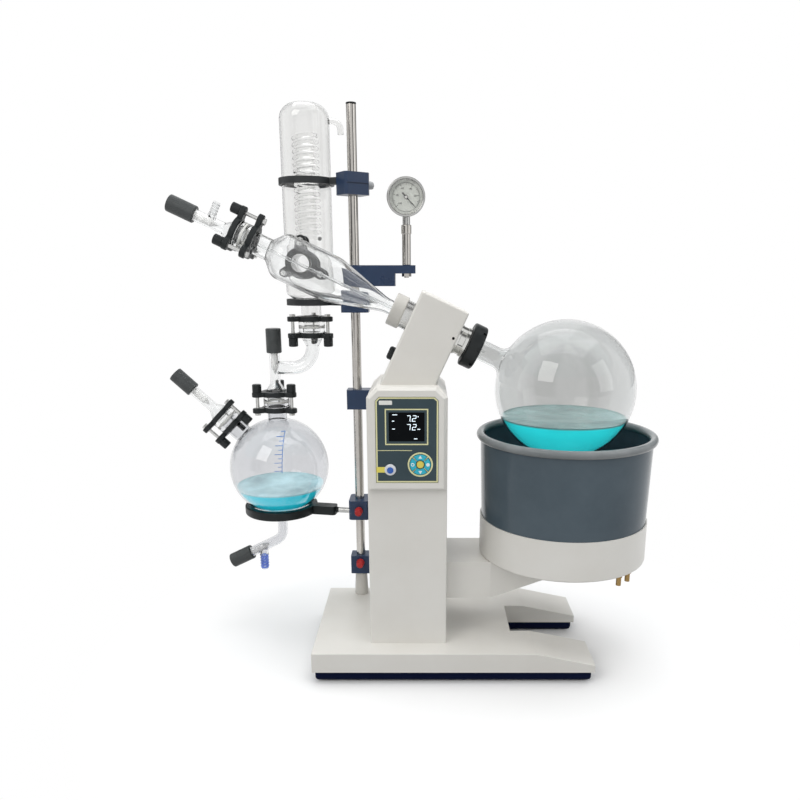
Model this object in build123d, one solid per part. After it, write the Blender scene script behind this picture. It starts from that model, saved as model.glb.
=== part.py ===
from build123d import *
import os
from math import acos, cos, pi, radians, sin, sqrt, tan

# Rotary evaporator for the laboratory bench, in millimetres, +Z up.
# The origin is on the floor under the middle of the base. +X runs from the column to the
# water bath, and -Y is the front, with the control panel.

# Clearances
RUNNING = 0.05          # radial gap of a shaft in its bearing
SLIP = 0.3              # gap between pieces that only lie close to each other

# Base: a navy tray under a cream sheet cover with two legs
BASE_LENGTH = 450.0
BASE_DEPTH = 246.0
CHASSIS_HEIGHT = 20.0
CHASSIS_INSET = 5.0
CHASSIS_WALL = 3.0
CHASSIS_LIP = 6.0       # height of the tray wall inside the cover
CHASSIS_EDGE = 11.0
COVER_TOP = 52.6
COVER_WALL = 2.0
COVER_EDGE = 1.2
LEG_WIDTH = 77.0
LEG_LENGTH = 127.0
LEG_SLOPE_LENGTH = 94.0
LEG_TIP_HEIGHT = 33.0

# Column with a hipped top
COLUMN_SETBACK = 153.0  # from the left end of the base to the middle of the column
COLUMN_WIDTH = 122.0
COLUMN_DEPTH = 177.0
COLUMN_WALL = 2.5
COLUMN_EDGE = 2.0
COLUMN_SHOULDER = 455.0
COLUMN_HIP = 15.0
COLUMN_TOP_WIDTH = 94.0
COLUMN_TOP_DEPTH = 124.0

# Tilted drive head
SPINDLE_TILT = 25.0     # degrees that the spindle falls towards the flask
SPINDLE_OFFSET = 4.0    # from the column's middle to where the spindle line meets the head's left face
SPINDLE_RISE = 99.2     # the same point above the top of the column
HEAD_LENGTH = 77.5
HEAD_RISE = 45.0        # from the spindle line to the top face
HEAD_WIDTH = 116.0
HEAD_WALL = 3.0
HEAD_EDGE = 3.0
HEAD_HOLE_R = 2.2       # lock screw hole in the front face
HEAD_HOLE_STATION = 71.5
HEAD_HOLE_RISE = 1.5     # above the spindle line

# Drive inside the head
SPINDLE_R = 20.0
SPINDLE_BORE = 17.0
BEARING_R = 25.0
BEARING_LENGTH = 12.0
BEARING_BOSS_WALL = 3.5
BEARING_BOSS_LENGTH = 18.0
GEAR_MODULE = 2.0
GEAR_TEETH = 36
PINION_TEETH = 12
GEAR_WIDTH = 12.0
GEAR_STATION = 41.0
GEAR_BACKLASH = 0.25
DRIVE_MOTOR_R = 17.0
DRIVE_MOTOR_LENGTH = 34.0
PINION_SHAFT_R = 4.0
PINION_SHAFT_DEPTH = 10.0

# Spindle nose, flask clamp nut and evaporating flask
NOSE_R = 24.5
NOSE_LENGTH = 20.0
NOSE_FLANGE = 6.0
NOSE_GROOVE_R = 21.5
NOSE_THREAD_R = 23.0
NOSE_THREAD_LENGTH = 6.5
NOSE_LUGS = 4
NOSE_LUG_WIDTH = 15.0
CLAMP_NUT_R = 35.5
CLAMP_NUT_LENGTH = 22.0
CLAMP_NUT_NOTCHES = 8
CLAMP_NUT_NOTCH = 7.0
CLAMP_NUT_LIP = 10.5
GLASS_WALL = 2.5
FLASK_R = 111.5
FLASK_REACH = 273.0     # centre of the flask from the left face of the head
FLASK_NECK_R = 16.2
FLASK_NECK_FLARE = 16.0
FLASK_BEAD_R = 21.0
FLASK_BEAD = 4.2

# Vapour duct and its lock nut at the head
SOCKET_R = 23.0
SOCKET_LENGTH = 21.7
SOCKET_GROOVES = 3
SOCKET_GROOVE = 1.0
LOCK_NUT_R = 26.0
LOCK_NUT_LENGTH = 20.0
LOCK_NUT_LIP = 6.0
DUCT_TUBE_R = 11.5
DUCT_BEAD_R = 18.0
DUCT_BEAD = 4.0
DUCT_R = 36.0
DUCT_CONE_END = 43.5    # stations of the duct, measured from the head
DUCT_CONE_START = 133.0
DUCT_SHOULDER = 221.0
DUCT_JOINT = 281.0
DUCT_TUBE_REACH = 98.0  # how far the vapour tube runs through the spindle
SEAL_LENGTH = 8.0

# Flanged glass joints, each held by two lobed plates and three bolts
JOINT_NECK_R = 17.0
JOINT_FLANGE_R = 23.0
JOINT_FLANGE = 8.5
JOINT_SEAL = 3.0
PLATE_THICKNESS = 8.5
PLATE_RING_R = 27.0
PLATE_LOBES = 3
PLATE_LOBE_R = 9.0
PLATE_LOBE_REACH = 35.0
BOLT_R = 3.0
BOLT_HEAD_R = 5.5
BOLT_HEAD = 4.0
KNOB_R = 8.0
KNOB_LENGTH = 14.5
KNOB_DEPTH = 10.0

# Glass needle valves
BARREL_R = 9.0
BARREL_REACH = 78.5     # from the joint to the handle
BARREL_CONE = 14.0
HANDLE_R = 13.3
HANDLE_LENGTH = 43.0
STEM_LENGTH = 38.0
STEM_POINT = 12.0
BARB_R = 5.0
BARB_LENGTH = 20.0
BARB_WALL = 1.6
BARB_BEAD = 1.5          # how far the stop bead stands out round a hose stub
BARB_STOP = 3.0          # height of the stop bead above the barrel
FEED_BARB_REACH = 55.0
FEED_TUBE_R = 2.5
FEED_TUBE_BORE = 1.5
FEED_TUBE_REACH = 130.0

# Condenser
CONDENSER_REACH = 79.8  # from the rod to the left
CONDENSER_SPACE = 53.0  # between duct and condenser, for the joint behind the duct
CONDENSER_R = 41.0
CONDENSER_RISE = 253.4  # from the port to the top of the dome
CONDENSER_DOME = 25.0
CONDENSER_DROP = 50.6   # from the port to where the body starts to narrow
CONDENSER_FOOT_CONE = 16.0
CONDENSER_NECK = 56.0   # from there to the joint
HOOK_R = 5.2
HOOK_WALL = 1.4
HOOK_BELOW_TOP = 27.0
HOOK_REACH = 59.0
HOOK_BEND = 14.0
HOOK_DROP = 20.0
COIL_R = 19.0
COIL_TUBE_R = 3.2
COIL_PITCH = 10.2
COIL_TURNS = 16
COIL_CLEAR = 41.4       # first turn above the port

# Return elbow and receiving flask
RECEIVER_REACH = 68.4   # from the condenser to the left
RECEIVER_R = 88.9
RECEIVER_NECK = 31.5    # from the ball to the joint
ELBOW_R = 11.5
ELBOW_DROP = 72.0       # from the condenser's joint to the level run
ELBOW_STAND = 60.0      # from the receiver's joint to the level run
ELBOW_BARREL_RISE = 26.0
ELBOW_BEND = 36.0
VENT_ANGLE = 43.5       # degrees above level, to the left
VENT_JOINT = 125.0      # from the centre of the receiving flask
DRAIN_DROP = 50.0
DRAIN_BEND = 24.0
DRAIN_ANGLE = 26.0      # degrees below level, to the left
DRAIN_BARREL = 66.0
DRAIN_BARB_AT = 42.0
DRAIN_BARB_R = 6.5
DRAIN_BARB_STOP = 7.5
DRAIN_BARB_LENGTH = 28.0

# Support rod, brackets, boss clamps and rings
ROD_GAP = 30.5          # from the side of the column
ROD_BEHIND = 14.0       # from the back of the column
ROD_R = 8.0
ROD_SHORT = 6.5         # below the top of the condenser
SOCKET_PART = 9.15      # the rod socket is one such part of the column's height
SOCKET_FOOT_R = 12.5
SOCKET_TOP_R = 10.5
BRACKET_HEIGHT = 34.0
BRACKET_DEPTH = 29.0
BRACKET_OVERHANG = 17.5  # from the rod to the free end
BRACKET_OVERLAP = 38.0   # length bolted to the back of the column
BRACKET_BELOW = 50.5     # upper bracket below the column's shoulder
BRACKET_GAP = 0.4
BOSS_LENGTH = 46.0
BOSS_WIDTH = 36.0
BOSS_HEIGHT = 35.0
BOSS_EDGE = 4.0
UPPER_BOSS_RISE = 126.0  # above the port
LOWER_BOSS_DROP = 12.0   # below the condenser's narrowing
RECEIVER_BOSS_RISE = 8.0
UPPER_RING_RISE = 6.0
LOWER_RING_DROP = 1.3
UPPER_BOSS_TURN = 35.0  # degrees that the upper boss is turned on the rod
RING_WALL = 5.0
RING_HEIGHT = 10.5
RING_ARM_WIDTH = 16.0
CRADLE_R = 41.5
RECEIVER_RING_R = 66.0
RECEIVER_RING_BORE = 55.0
RECEIVER_RING_HEIGHT = 16.0
RECEIVER_TAB_LENGTH = 40.0
RECEIVER_TAB_WIDTH = 22.0
RECEIVER_STEM_R = 5.0
SCREW_R = 3.0
SCREW_KNOB_R = 7.5
SCREW_KNOB_LENGTH = 15.0

# Vacuum gauge on its arm
GAUGE_REACH = 87.5      # from the rod to the right
GAUGE_STEM = 43.0       # from the post's cap to the middle of the dial
GAUGE_R = 31.5
GAUGE_DEPTH = 28.0
GAUGE_BEZEL = 4.0
GAUGE_WELL = 8.0
GAUGE_LENS = 2.0
GAUGE_PIVOT_R = 1.2
NEEDLE_THICKNESS = 1.0
NEEDLE_TIP = 22.0
NEEDLE_TAIL = 9.0
NEEDLE_HUB_R = 3.2
GAUGE_ARM_GAP = 8.5     # above the lower boss
GAUGE_ARM_HEIGHT = 34.0
GAUGE_ARM_DEPTH = 30.0
GAUGE_ARM_BAR = 13.5
GAUGE_ARM_BLOCK = 68.5  # from the rod to the end of the block
GAUGE_ARM_REACH = 102.5
POST_R = 7.2
POST_HEIGHT = 50.0
POST_CAP_R = 8.4
POST_CAP = 15.0
POST_STUD_R = 4.0
POST_NUT_R = 8.0
POST_NUT = 5.0

# Control panel
BEZEL_WIDTH = 118.0
BEZEL_HEIGHT = 158.0
BEZEL_RISE = 2.0        # above the top of the column
BEZEL_CORNER = 15.0
BEZEL_THICKNESS = 11.0
BEZEL_EDGE = 4.0
FASCIA_WIDTH = 94.0
FASCIA_MARGIN = 13.0
FASCIA_HEIGHT = 131.5
FASCIA_CORNER = 6.0
FASCIA_THICKNESS = 3.0
FASCIA_RECESS = 0.7
FASCIA_LEDGE = 4.0
DISPLAY_ACROSS = -0.5    # from the middle of the column
DISPLAY_RISE = 86.3     # above the lower edge of the fascia
DISPLAY_WIDTH = 53.0
DISPLAY_HEIGHT = 43.5
DISPLAY_THICKNESS = 2.2
KEYPAD_ACROSS = 19.8
KEYPAD_RISE = 28.4
KEY_RING_R = 15.5
KEY_RING_BORE = 7.0
KEY_CENTRE_R = 5.5
KEY_ANGLE = 79.0
KEY_PROUD = 1.2
KEY_THICKNESS = 3.5
POWER_ACROSS = -25.5
POWER_RISE = 20.3
POWER_R = 8.7
POWER_PROUD = 3.4
POWER_LENGTH = 6.0
POWER_DOME = 1.6

# Water bath on its lifting arm
BATH_OFFSET = 5.3       # from under the flask's centre
BATH_RIM = 386.0
BATH_RIM_TUBE = 6.5
BATH_RIM_R = 145.0
BATH_FOOT_R = 134.8
BATH_WALL = 2.0
BATH_FLOOR = 206.0
SKIRT_BOTTOM = 179.5
SKIRT_HEIGHT = 64.5
SKIRT_WALL = 2.0
HEATER_R = 105.0
ARM_HEIGHT = 63.0
ARM_WIDTH = 110.0
ARM_TIP_WIDTH = 48.0
ARM_TIP_HEIGHT = 26.0
ARM_TAPER_AFTER = 73.0   # from the side of the column
ARM_PAST_BATH = 20.3
ARM_WALL = 3.0
ARM_SLOT_GAP = 3.0
FITTING_REACH = 125.0
FITTING_ANGLES = (-54.0, -43.0)
FITTING_R = 6.0
FITTING_HEX = 5.0
FITTING_BARB_R = 4.0
FITTING_LENGTH = 19.0

# Lift inside the column
LIFT_UP = 50.0
LIFT_DOWN = 50.0
LIFT_OFFSET = -3.0      # from the middle of the column
LIFT_PLATE = 8.0
LIFT_PLATE_WIDTH = 104.0
LIFT_PLATE_DEPTH = 140.0
LIFT_TOP = 300.0
GUIDE_R = 6.0
GUIDE_SPREAD = 100.0
LEAD_SCREW_R = 7.0
CARRIAGE_WIDTH = 60.0
CARRIAGE_DEPTH = 132.0
CARRIAGE_HEIGHT = 58.0
LIFT_MOTOR_R = 27.0
LIFT_MOTOR_LENGTH = 64.0
LIFT_COUPLING = 16.0

# Cable glands
GLAND_R = 11.0
GLAND_LENGTH = 9.0
GLAND_DOME = 4.0
HEAD_GLAND_DROP = 67.0  # below the spindle line
HEAD_GLAND_Y = 22.0
MAINS_GLAND_RISE = 29.4

# Places that follow from the sizes above
TILT = radians(SPINDLE_TILT)
LEG_GAP_START = BASE_LENGTH / 2 - LEG_LENGTH
LEG_SLOPE_START = BASE_LENGTH / 2 - LEG_SLOPE_LENGTH
COLUMN_X = -BASE_LENGTH / 2 + COLUMN_SETBACK
COLUMN_TOP = COLUMN_SHOULDER + COLUMN_HIP
COLUMN_BACK = COLUMN_DEPTH / 2
COLUMN_LEFT = COLUMN_X - COLUMN_WIDTH / 2
COLUMN_RIGHT = COLUMN_X + COLUMN_WIDTH / 2
SPINDLE_X = COLUMN_X + SPINDLE_OFFSET
SPINDLE_Z = COLUMN_TOP + SPINDLE_RISE
SPINDLE = Plane(
    origin=(SPINDLE_X, 0, SPINDLE_Z),
    x_dir=(sin(TILT), 0, cos(TILT)),
    z_dir=(cos(TILT), 0, -sin(TILT)),
)
NOSE_START = HEAD_LENGTH + SLIP
NOSE_END = NOSE_START + NOSE_LENGTH
THREAD_END = NOSE_END + NOSE_THREAD_LENGTH
PINION_DROP = GEAR_MODULE * (GEAR_TEETH + PINION_TEETH) / 2 + GEAR_BACKLASH
PLATE_GAP = JOINT_SEAL / 2 + JOINT_FLANGE
JOINT_STACK = PLATE_GAP + PLATE_THICKNESS
ROD_X = COLUMN_LEFT - ROD_GAP
SOCKET_HEIGHT = (COLUMN_SHOULDER - COVER_TOP) / SOCKET_PART
ROD_Y = COLUMN_BACK + ROD_BEHIND
CONDENSER_X = ROD_X - CONDENSER_REACH
CONDENSER_Y = DUCT_R + CONDENSER_SPACE + CONDENSER_R
PORT_STATION = (CONDENSER_X - SPINDLE_X) / cos(TILT)
PORT_Z = SPINDLE_Z - PORT_STATION * sin(TILT)
PORT_Y = DUCT_R + CONDENSER_SPACE / 2
CONDENSER_TOP = PORT_Z + CONDENSER_RISE
CONDENSER_FOOT = PORT_Z - CONDENSER_DROP
CONDENSER_JOINT_Z = CONDENSER_FOOT - CONDENSER_NECK
COIL_START = PORT_Z + COIL_CLEAR
ELBOW_Z = CONDENSER_JOINT_Z - ELBOW_DROP
RECEIVER_JOINT_Z = ELBOW_Z - ELBOW_STAND
ELBOW_BARREL = ELBOW_STAND + ELBOW_BARREL_RISE
RECEIVER_X = CONDENSER_X - RECEIVER_REACH
RECEIVER_Z = RECEIVER_JOINT_Z - RECEIVER_NECK - RECEIVER_R
RECEIVER_SEAT = RECEIVER_Z - sqrt((RECEIVER_R + SLIP) ** 2 - RECEIVER_RING_BORE ** 2)
RECEIVER_RING_Z = RECEIVER_SEAT - RECEIVER_RING_HEIGHT / 2
ROD_TOP = CONDENSER_TOP - ROD_SHORT
UPPER_BOSS_Z = PORT_Z + UPPER_BOSS_RISE
LOWER_BOSS_Z = CONDENSER_FOOT - LOWER_BOSS_DROP
RECEIVER_BOSS_Z = RECEIVER_RING_Z + RECEIVER_BOSS_RISE
LOWER_BRACKET_Z = COVER_TOP + SOCKET_HEIGHT + BRACKET_GAP
UPPER_BRACKET_Z = COLUMN_SHOULDER - BRACKET_BELOW
GAUGE_X = ROD_X + GAUGE_REACH
GAUGE_ARM_Z = LOWER_BOSS_Z + BOSS_HEIGHT / 2 + GAUGE_ARM_GAP
GAUGE_ARM_TOP = GAUGE_ARM_Z + GAUGE_ARM_HEIGHT
GAUGE_CAP_TOP = GAUGE_ARM_TOP + POST_HEIGHT + POST_CAP
GAUGE_Z = GAUGE_CAP_TOP + GAUGE_STEM
GAUGE_FACE = ROD_Y - GAUGE_DEPTH / 2
BEZEL_TOP = COLUMN_TOP + BEZEL_RISE
BEZEL_BOTTOM = BEZEL_TOP - BEZEL_HEIGHT
PANEL_FRONT = -COLUMN_DEPTH / 2 - BEZEL_THICKNESS
FASCIA_FRONT = PANEL_FRONT + FASCIA_RECESS
FASCIA_BOTTOM = BEZEL_BOTTOM + FASCIA_MARGIN
DISPLAY_X = COLUMN_X + DISPLAY_ACROSS
DISPLAY_Z = FASCIA_BOTTOM + DISPLAY_RISE
KEYPAD_X = COLUMN_X + KEYPAD_ACROSS
KEYPAD_Z = FASCIA_BOTTOM + KEYPAD_RISE
POWER_X = COLUMN_X + POWER_ACROSS
POWER_Z = FASCIA_BOTTOM + POWER_RISE
BATH_X = SPINDLE_X + FLASK_REACH * cos(TILT) + BATH_OFFSET
ARM_BOTTOM = SKIRT_BOTTOM - ARM_HEIGHT
ARM_TAPER_START = COLUMN_RIGHT + ARM_TAPER_AFTER
ARM_END = BATH_X + ARM_PAST_BATH
LIFT_X = COLUMN_X + LIFT_OFFSET
LIFT_FLOOR = COVER_TOP + LIFT_PLATE
MAINS_GLAND_Z = COVER_TOP + MAINS_GLAND_RISE


def on_spindle(shape):
    """Place a shape modelled along Z on the spindle line, station 0 at the head's left face."""
    return SPINDLE.location * shape


def head_corner(station, height):
    """World X and Z of the point of a head face at a station along the spindle and a world Z."""
    rise = (height - SPINDLE_Z + station * sin(TILT)) / cos(TILT)
    return SPINDLE_X + station * cos(TILT) + rise * sin(TILT), height


def turned(*points):
    """Solid of revolution about Z of a closed outline of (radius, height, corner) points."""
    outline = [(point[0], point[1]) for point in points]
    corners = [point[2] if len(point) > 2 else 0 for point in points]
    return revolve(make_face(Plane.XZ * FilletPolyline(*outline, radius=corners, close=True)), Axis.Z)


def ring(radius, bore, bottom, top):
    return turned((bore, bottom), (radius, bottom), (radius, top), (bore, top))


def bar(radius, bottom, top):
    return Pos(0, 0, (bottom + top) / 2) * Cylinder(radius, top - bottom)


def block(x0, x1, y0, y1, z0, z1):
    return Pos((x0 + x1) / 2, (y0 + y1) / 2, (z0 + z1) / 2) * Box(x1 - x0, y1 - y0, z1 - z0)


def swept(radius, path):
    """Round bar along a path."""
    return sweep(Plane(origin=path @ 0, z_dir=path % 0) * Circle(radius), path=path)


def group(solids):
    return Compound(children=[solid.solid() for solid in solids])


def fork(inset):
    """Plan of the base: a rectangle with the gap between the two legs."""
    gap = BASE_DEPTH - 2 * LEG_WIDTH + 2 * inset
    reach = BASE_LENGTH / 2 - LEG_GAP_START + inset
    plate = Rectangle(BASE_LENGTH - 2 * inset, BASE_DEPTH - 2 * inset)
    return plate - Pos(BASE_LENGTH / 2 - reach / 2, 0) * Rectangle(reach, gap)


def cover_form(inset):
    """Body of the base cover, drawn in by a wall: flat top that slopes down along the legs."""
    top = COVER_TOP - inset
    body = Pos(0, 0, CHASSIS_HEIGHT) * extrude(fork(inset), top - CHASSIS_HEIGHT)
    end = BASE_LENGTH / 2
    wedge = Plane.XZ * Polyline(
        (LEG_SLOPE_START, top), (end, LEG_TIP_HEIGHT - inset), (end, top), close=True
    )
    return body - extrude(make_face(wedge), BASE_DEPTH, both=True)


def base_cover():
    body = cover_form(0)
    edges = body.edges().filter_by(lambda edge: edge.center().Z > CHASSIS_HEIGHT + COVER_EDGE)
    return fillet(edges, COVER_EDGE) - cover_form(COVER_WALL)


def base_chassis():
    tray = extrude(fork(CHASSIS_INSET), CHASSIS_HEIGHT + CHASSIS_LIP)
    rim = tray.edges().group_by(Axis.Z)[0]
    pocket = extrude(fork(CHASSIS_INSET + CHASSIS_WALL), CHASSIS_HEIGHT + CHASSIS_LIP)
    tray = fillet(rim, CHASSIS_EDGE) - Pos(0, 0, CHASSIS_WALL) * pocket
    pad_width = COLUMN_WIDTH - 2 * COLUMN_WALL
    pad_depth = COLUMN_DEPTH - 2 * COLUMN_WALL
    pad = block(
        COLUMN_X - pad_width / 2, COLUMN_X + pad_width / 2, -pad_depth / 2, pad_depth / 2,
        CHASSIS_WALL / 2, COVER_TOP - COVER_WALL,
    )
    return tray + pad


def column_form(inset, bottom):
    shaft = Pos(COLUMN_X, 0, bottom) * extrude(
        Rectangle(COLUMN_WIDTH - 2 * inset, COLUMN_DEPTH - 2 * inset), COLUMN_SHOULDER - bottom
    )
    foot = Rectangle(COLUMN_WIDTH - 2 * inset, COLUMN_DEPTH - 2 * inset)
    crown = Rectangle(COLUMN_TOP_WIDTH - 2 * inset, COLUMN_TOP_DEPTH - 2 * inset)
    hip = loft([Pos(COLUMN_X, 0, COLUMN_SHOULDER) * foot, Pos(COLUMN_X, 0, COLUMN_TOP - inset) * crown])
    return shaft + hip


def column_shell():
    body = column_form(0, COVER_TOP)
    uprights = body.edges().filter_by(Axis.Z)
    body = fillet(uprights, COLUMN_EDGE) - column_form(COLUMN_WALL, COVER_TOP - COLUMN_WALL)
    half = ARM_WIDTH / 2 + ARM_SLOT_GAP
    slot = block(
        COLUMN_RIGHT - 2 * COLUMN_WALL, COLUMN_RIGHT + COLUMN_WALL, -half, half,
        ARM_BOTTOM - LIFT_DOWN - ARM_SLOT_GAP, SKIRT_BOTTOM + LIFT_UP + ARM_SLOT_GAP,
    )
    return body - slot


def lift_frame():
    plates = []
    for level in (COVER_TOP, LIFT_TOP):
        plate = block(
            LIFT_X - LIFT_PLATE_WIDTH / 2, LIFT_X + LIFT_PLATE_WIDTH / 2,
            -LIFT_PLATE_DEPTH / 2, LIFT_PLATE_DEPTH / 2, level, level + LIFT_PLATE,
        )
        plates.append(plate - Pos(LIFT_X, 0) * bar(LEAD_SCREW_R + RUNNING, level - 1, level + LIFT_PLATE + 1))
    guides = [
        Pos(LIFT_X, side * GUIDE_SPREAD / 2) * bar(GUIDE_R, LIFT_FLOOR, LIFT_TOP) for side in (-1, 1)
    ]
    return group(plates + guides)


def lift_screw():
    return Pos(LIFT_X, 0) * bar(LEAD_SCREW_R, COVER_TOP + SLIP, LIFT_TOP + LIFT_PLATE + LIFT_COUPLING)


def lift_motor():
    base = LIFT_TOP + LIFT_PLATE
    can = turned(
        (0, base), (LIFT_MOTOR_R, base), (LIFT_MOTOR_R, base + LIFT_MOTOR_LENGTH, 5),
        (0, base + LIFT_MOTOR_LENGTH),
    )
    coupling = bar(LEAD_SCREW_R + RUNNING, base, base + LIFT_COUPLING + SLIP)
    return Pos(LIFT_X, 0) * (can - coupling)


def lift_carriage():
    middle = ARM_BOTTOM + ARM_HEIGHT / 2
    body = block(
        LIFT_X - CARRIAGE_WIDTH / 2, LIFT_X + CARRIAGE_WIDTH / 2, -CARRIAGE_DEPTH / 2, CARRIAGE_DEPTH / 2,
        middle - CARRIAGE_HEIGHT / 2, middle + CARRIAGE_HEIGHT / 2,
    )
    body = fillet(body.edges().filter_by(Axis.Z), 6)
    reach = CARRIAGE_HEIGHT
    for y, radius in ((0, LEAD_SCREW_R), (-GUIDE_SPREAD / 2, GUIDE_R), (GUIDE_SPREAD / 2, GUIDE_R)):
        body -= Pos(LIFT_X, y) * bar(radius + RUNNING, middle - reach, middle + reach)
    return body


def arm_form(shrink):
    """Body of the bath arm, drawn in by a wall all round but open at the carriage."""
    start = LIFT_X + CARRIAGE_WIDTH / 2 - shrink
    end = ARM_END - shrink
    half = ARM_WIDTH / 2 - shrink
    tip = ARM_TIP_WIDTH / 2 - shrink
    low = ARM_BOTTOM + shrink
    plan = Polyline(
        (start, -half), (ARM_TAPER_START, -half), (end, -tip), (end, tip), (ARM_TAPER_START, half),
        (start, half), close=True,
    )
    body = Pos(0, 0, low) * extrude(make_face(plan), ARM_HEIGHT - 2 * shrink)
    side = Plane.XZ * Polyline(
        (ARM_TAPER_START, low), (end, low), (end, SKIRT_BOTTOM - ARM_TIP_HEIGHT + shrink), close=True
    )
    return body - extrude(make_face(side), ARM_WIDTH, both=True)


def bath_arm():
    body = arm_form(0)
    return fillet(body.edges().filter_by(Axis.Z), COLUMN_EDGE) - arm_form(ARM_WALL)


def bath_skirt():
    outer = BATH_FOOT_R + SLIP + SKIRT_WALL
    top = SKIRT_BOTTOM + SKIRT_HEIGHT
    shell = turned(
        (0, SKIRT_BOTTOM), (outer, SKIRT_BOTTOM, 3), (outer, top), (outer - SKIRT_WALL, top),
        (outer - SKIRT_WALL, SKIRT_BOTTOM + SKIRT_WALL), (0, SKIRT_BOTTOM + SKIRT_WALL),
    )
    for angle in FITTING_ANGLES:
        shell -= Rot(0, 0, angle) * Pos(FITTING_REACH, 0) * bar(
            FITTING_BARB_R + SLIP, SKIRT_BOTTOM - 1, SKIRT_BOTTOM + SKIRT_WALL + 1
        )
    return Pos(BATH_X, 0) * shell


def bath_pot():
    lip = BATH_RIM_R - BATH_RIM_TUBE
    seam = BATH_RIM - BATH_RIM_TUBE
    pot = turned(
        (0, BATH_FLOOR), (BATH_FOOT_R, BATH_FLOOR, 12), (BATH_FOOT_R, SKIRT_BOTTOM + SKIRT_HEIGHT),
        (lip, seam), (lip - BATH_WALL, seam), (BATH_FOOT_R - BATH_WALL, SKIRT_BOTTOM + SKIRT_HEIGHT),
        (BATH_FOOT_R - BATH_WALL, BATH_FLOOR + BATH_WALL, 10), (0, BATH_FLOOR + BATH_WALL),
    )
    rim = Pos(0, 0, seam) * Torus(lip, BATH_RIM_TUBE)
    return Pos(BATH_X, 0) * (pot + rim)


def bath_heater():
    bottom = SKIRT_BOTTOM + SKIRT_WALL
    return Pos(BATH_X, 0) * turned(
        (0, bottom), (HEATER_R, bottom, 2), (HEATER_R, BATH_FLOOR, 2), (0, BATH_FLOOR)
    )


def bath_fittings():
    fittings = []
    for angle in FITTING_ANGLES:
        nut = Pos(0, 0, SKIRT_BOTTOM - FITTING_HEX) * extrude(RegularPolygon(FITTING_R, 6), FITTING_HEX)
        stem = bar(FITTING_BARB_R, SKIRT_BOTTOM - FITTING_LENGTH, SKIRT_BOTTOM + SKIRT_WALL)
        fittings.append(Pos(BATH_X, 0) * Rot(0, 0, angle) * Pos(FITTING_REACH, 0) * (nut + stem))
    return group(fittings)


def panel_bezel():
    half = BEZEL_WIDTH / 2
    outline = Polyline(
        (-half, BEZEL_BOTTOM), (half, BEZEL_BOTTOM), (half, BEZEL_TOP - BEZEL_CORNER),
        (half - BEZEL_CORNER, BEZEL_TOP), (-half + BEZEL_CORNER, BEZEL_TOP),
        (-half, BEZEL_TOP - BEZEL_CORNER), close=True,
    )
    back = Plane(origin=(COLUMN_X, -COLUMN_DEPTH / 2, 0), x_dir=(1, 0, 0), z_dir=(0, -1, 0))
    frame = extrude(back * make_face(outline), BEZEL_THICKNESS)
    frame = chamfer(frame.edges().group_by(Axis.Y)[0], BEZEL_EDGE)
    front = front_plane(COLUMN_X, 0, PANEL_FRONT)
    frame -= extrude(front * fascia_outline(SLIP), -FASCIA_RECESS - FASCIA_THICKNESS)
    return frame - extrude(front * fascia_outline(-FASCIA_LEDGE), -BEZEL_THICKNESS - 1)


def fascia_outline(grow):
    """Fascia plate seen from the front, with cut upper corners, grown all round."""
    half = FASCIA_WIDTH / 2 + grow
    low = FASCIA_BOTTOM - grow
    high = FASCIA_BOTTOM + FASCIA_HEIGHT + grow
    return make_face(Polyline(
        (-half, low), (half, low), (half, high - FASCIA_CORNER), (half - FASCIA_CORNER, high),
        (-half + FASCIA_CORNER, high), (-half, high - FASCIA_CORNER), close=True,
    ))


def front_plane(x, z, y):
    """Work plane that faces the front, at a point of the panel."""
    return Plane(origin=(x, y, z), x_dir=(1, 0, 0), z_dir=(0, -1, 0))


def key_outlines(grow):
    """Outlines of the five keys about the middle of the keypad, by name."""
    names = {"key_right": 0, "key_up": 90, "key_left": 180, "key_down": 270}
    wedge_reach = 2 * KEY_RING_R
    half = radians(KEY_ANGLE / 2)
    wedge = make_face(Polyline(
        (0, 0), (wedge_reach * cos(half), -wedge_reach * sin(half)),
        (wedge_reach * cos(half), wedge_reach * sin(half)), close=True,
    ))
    sector = (Circle(KEY_RING_R) - Circle(KEY_RING_BORE)) & wedge
    if grow:
        sector = offset(sector, grow)
    outlines = {name: Rot(0, 0, angle) * sector for name, angle in names.items()}
    outlines["key_centre"] = Circle(KEY_CENTRE_R + grow)
    return outlines


def panel_fascia():
    plate = extrude(front_plane(COLUMN_X, 0, FASCIA_FRONT) * fascia_outline(0), -FASCIA_THICKNESS)
    window = front_plane(DISPLAY_X, DISPLAY_Z, FASCIA_FRONT)
    pocket = Rectangle(DISPLAY_WIDTH + 2 * SLIP, DISPLAY_HEIGHT + 2 * SLIP)
    plate -= extrude(window * pocket, -DISPLAY_THICKNESS)
    keypad = front_plane(KEYPAD_X, KEYPAD_Z, FASCIA_FRONT)
    for outline in key_outlines(SLIP).values():
        plate -= extrude(keypad * outline, -2 * FASCIA_THICKNESS)
    power = front_plane(POWER_X, POWER_Z, FASCIA_FRONT)
    return plate - extrude(power * Circle(POWER_R + SLIP), -2 * FASCIA_THICKNESS)


def display_window():
    window = front_plane(DISPLAY_X, DISPLAY_Z, FASCIA_FRONT)
    return extrude(window * Rectangle(DISPLAY_WIDTH, DISPLAY_HEIGHT), -DISPLAY_THICKNESS)


def keypad_keys():
    place = front_plane(KEYPAD_X, KEYPAD_Z, FASCIA_FRONT - KEY_PROUD)
    keys = {}
    for name, outline in key_outlines(0).items():
        key = extrude(place * outline, -KEY_THICKNESS)
        keys[name] = chamfer(key.edges().group_by(Axis.Y)[0], KEY_PROUD / 3)
    return keys


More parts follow.
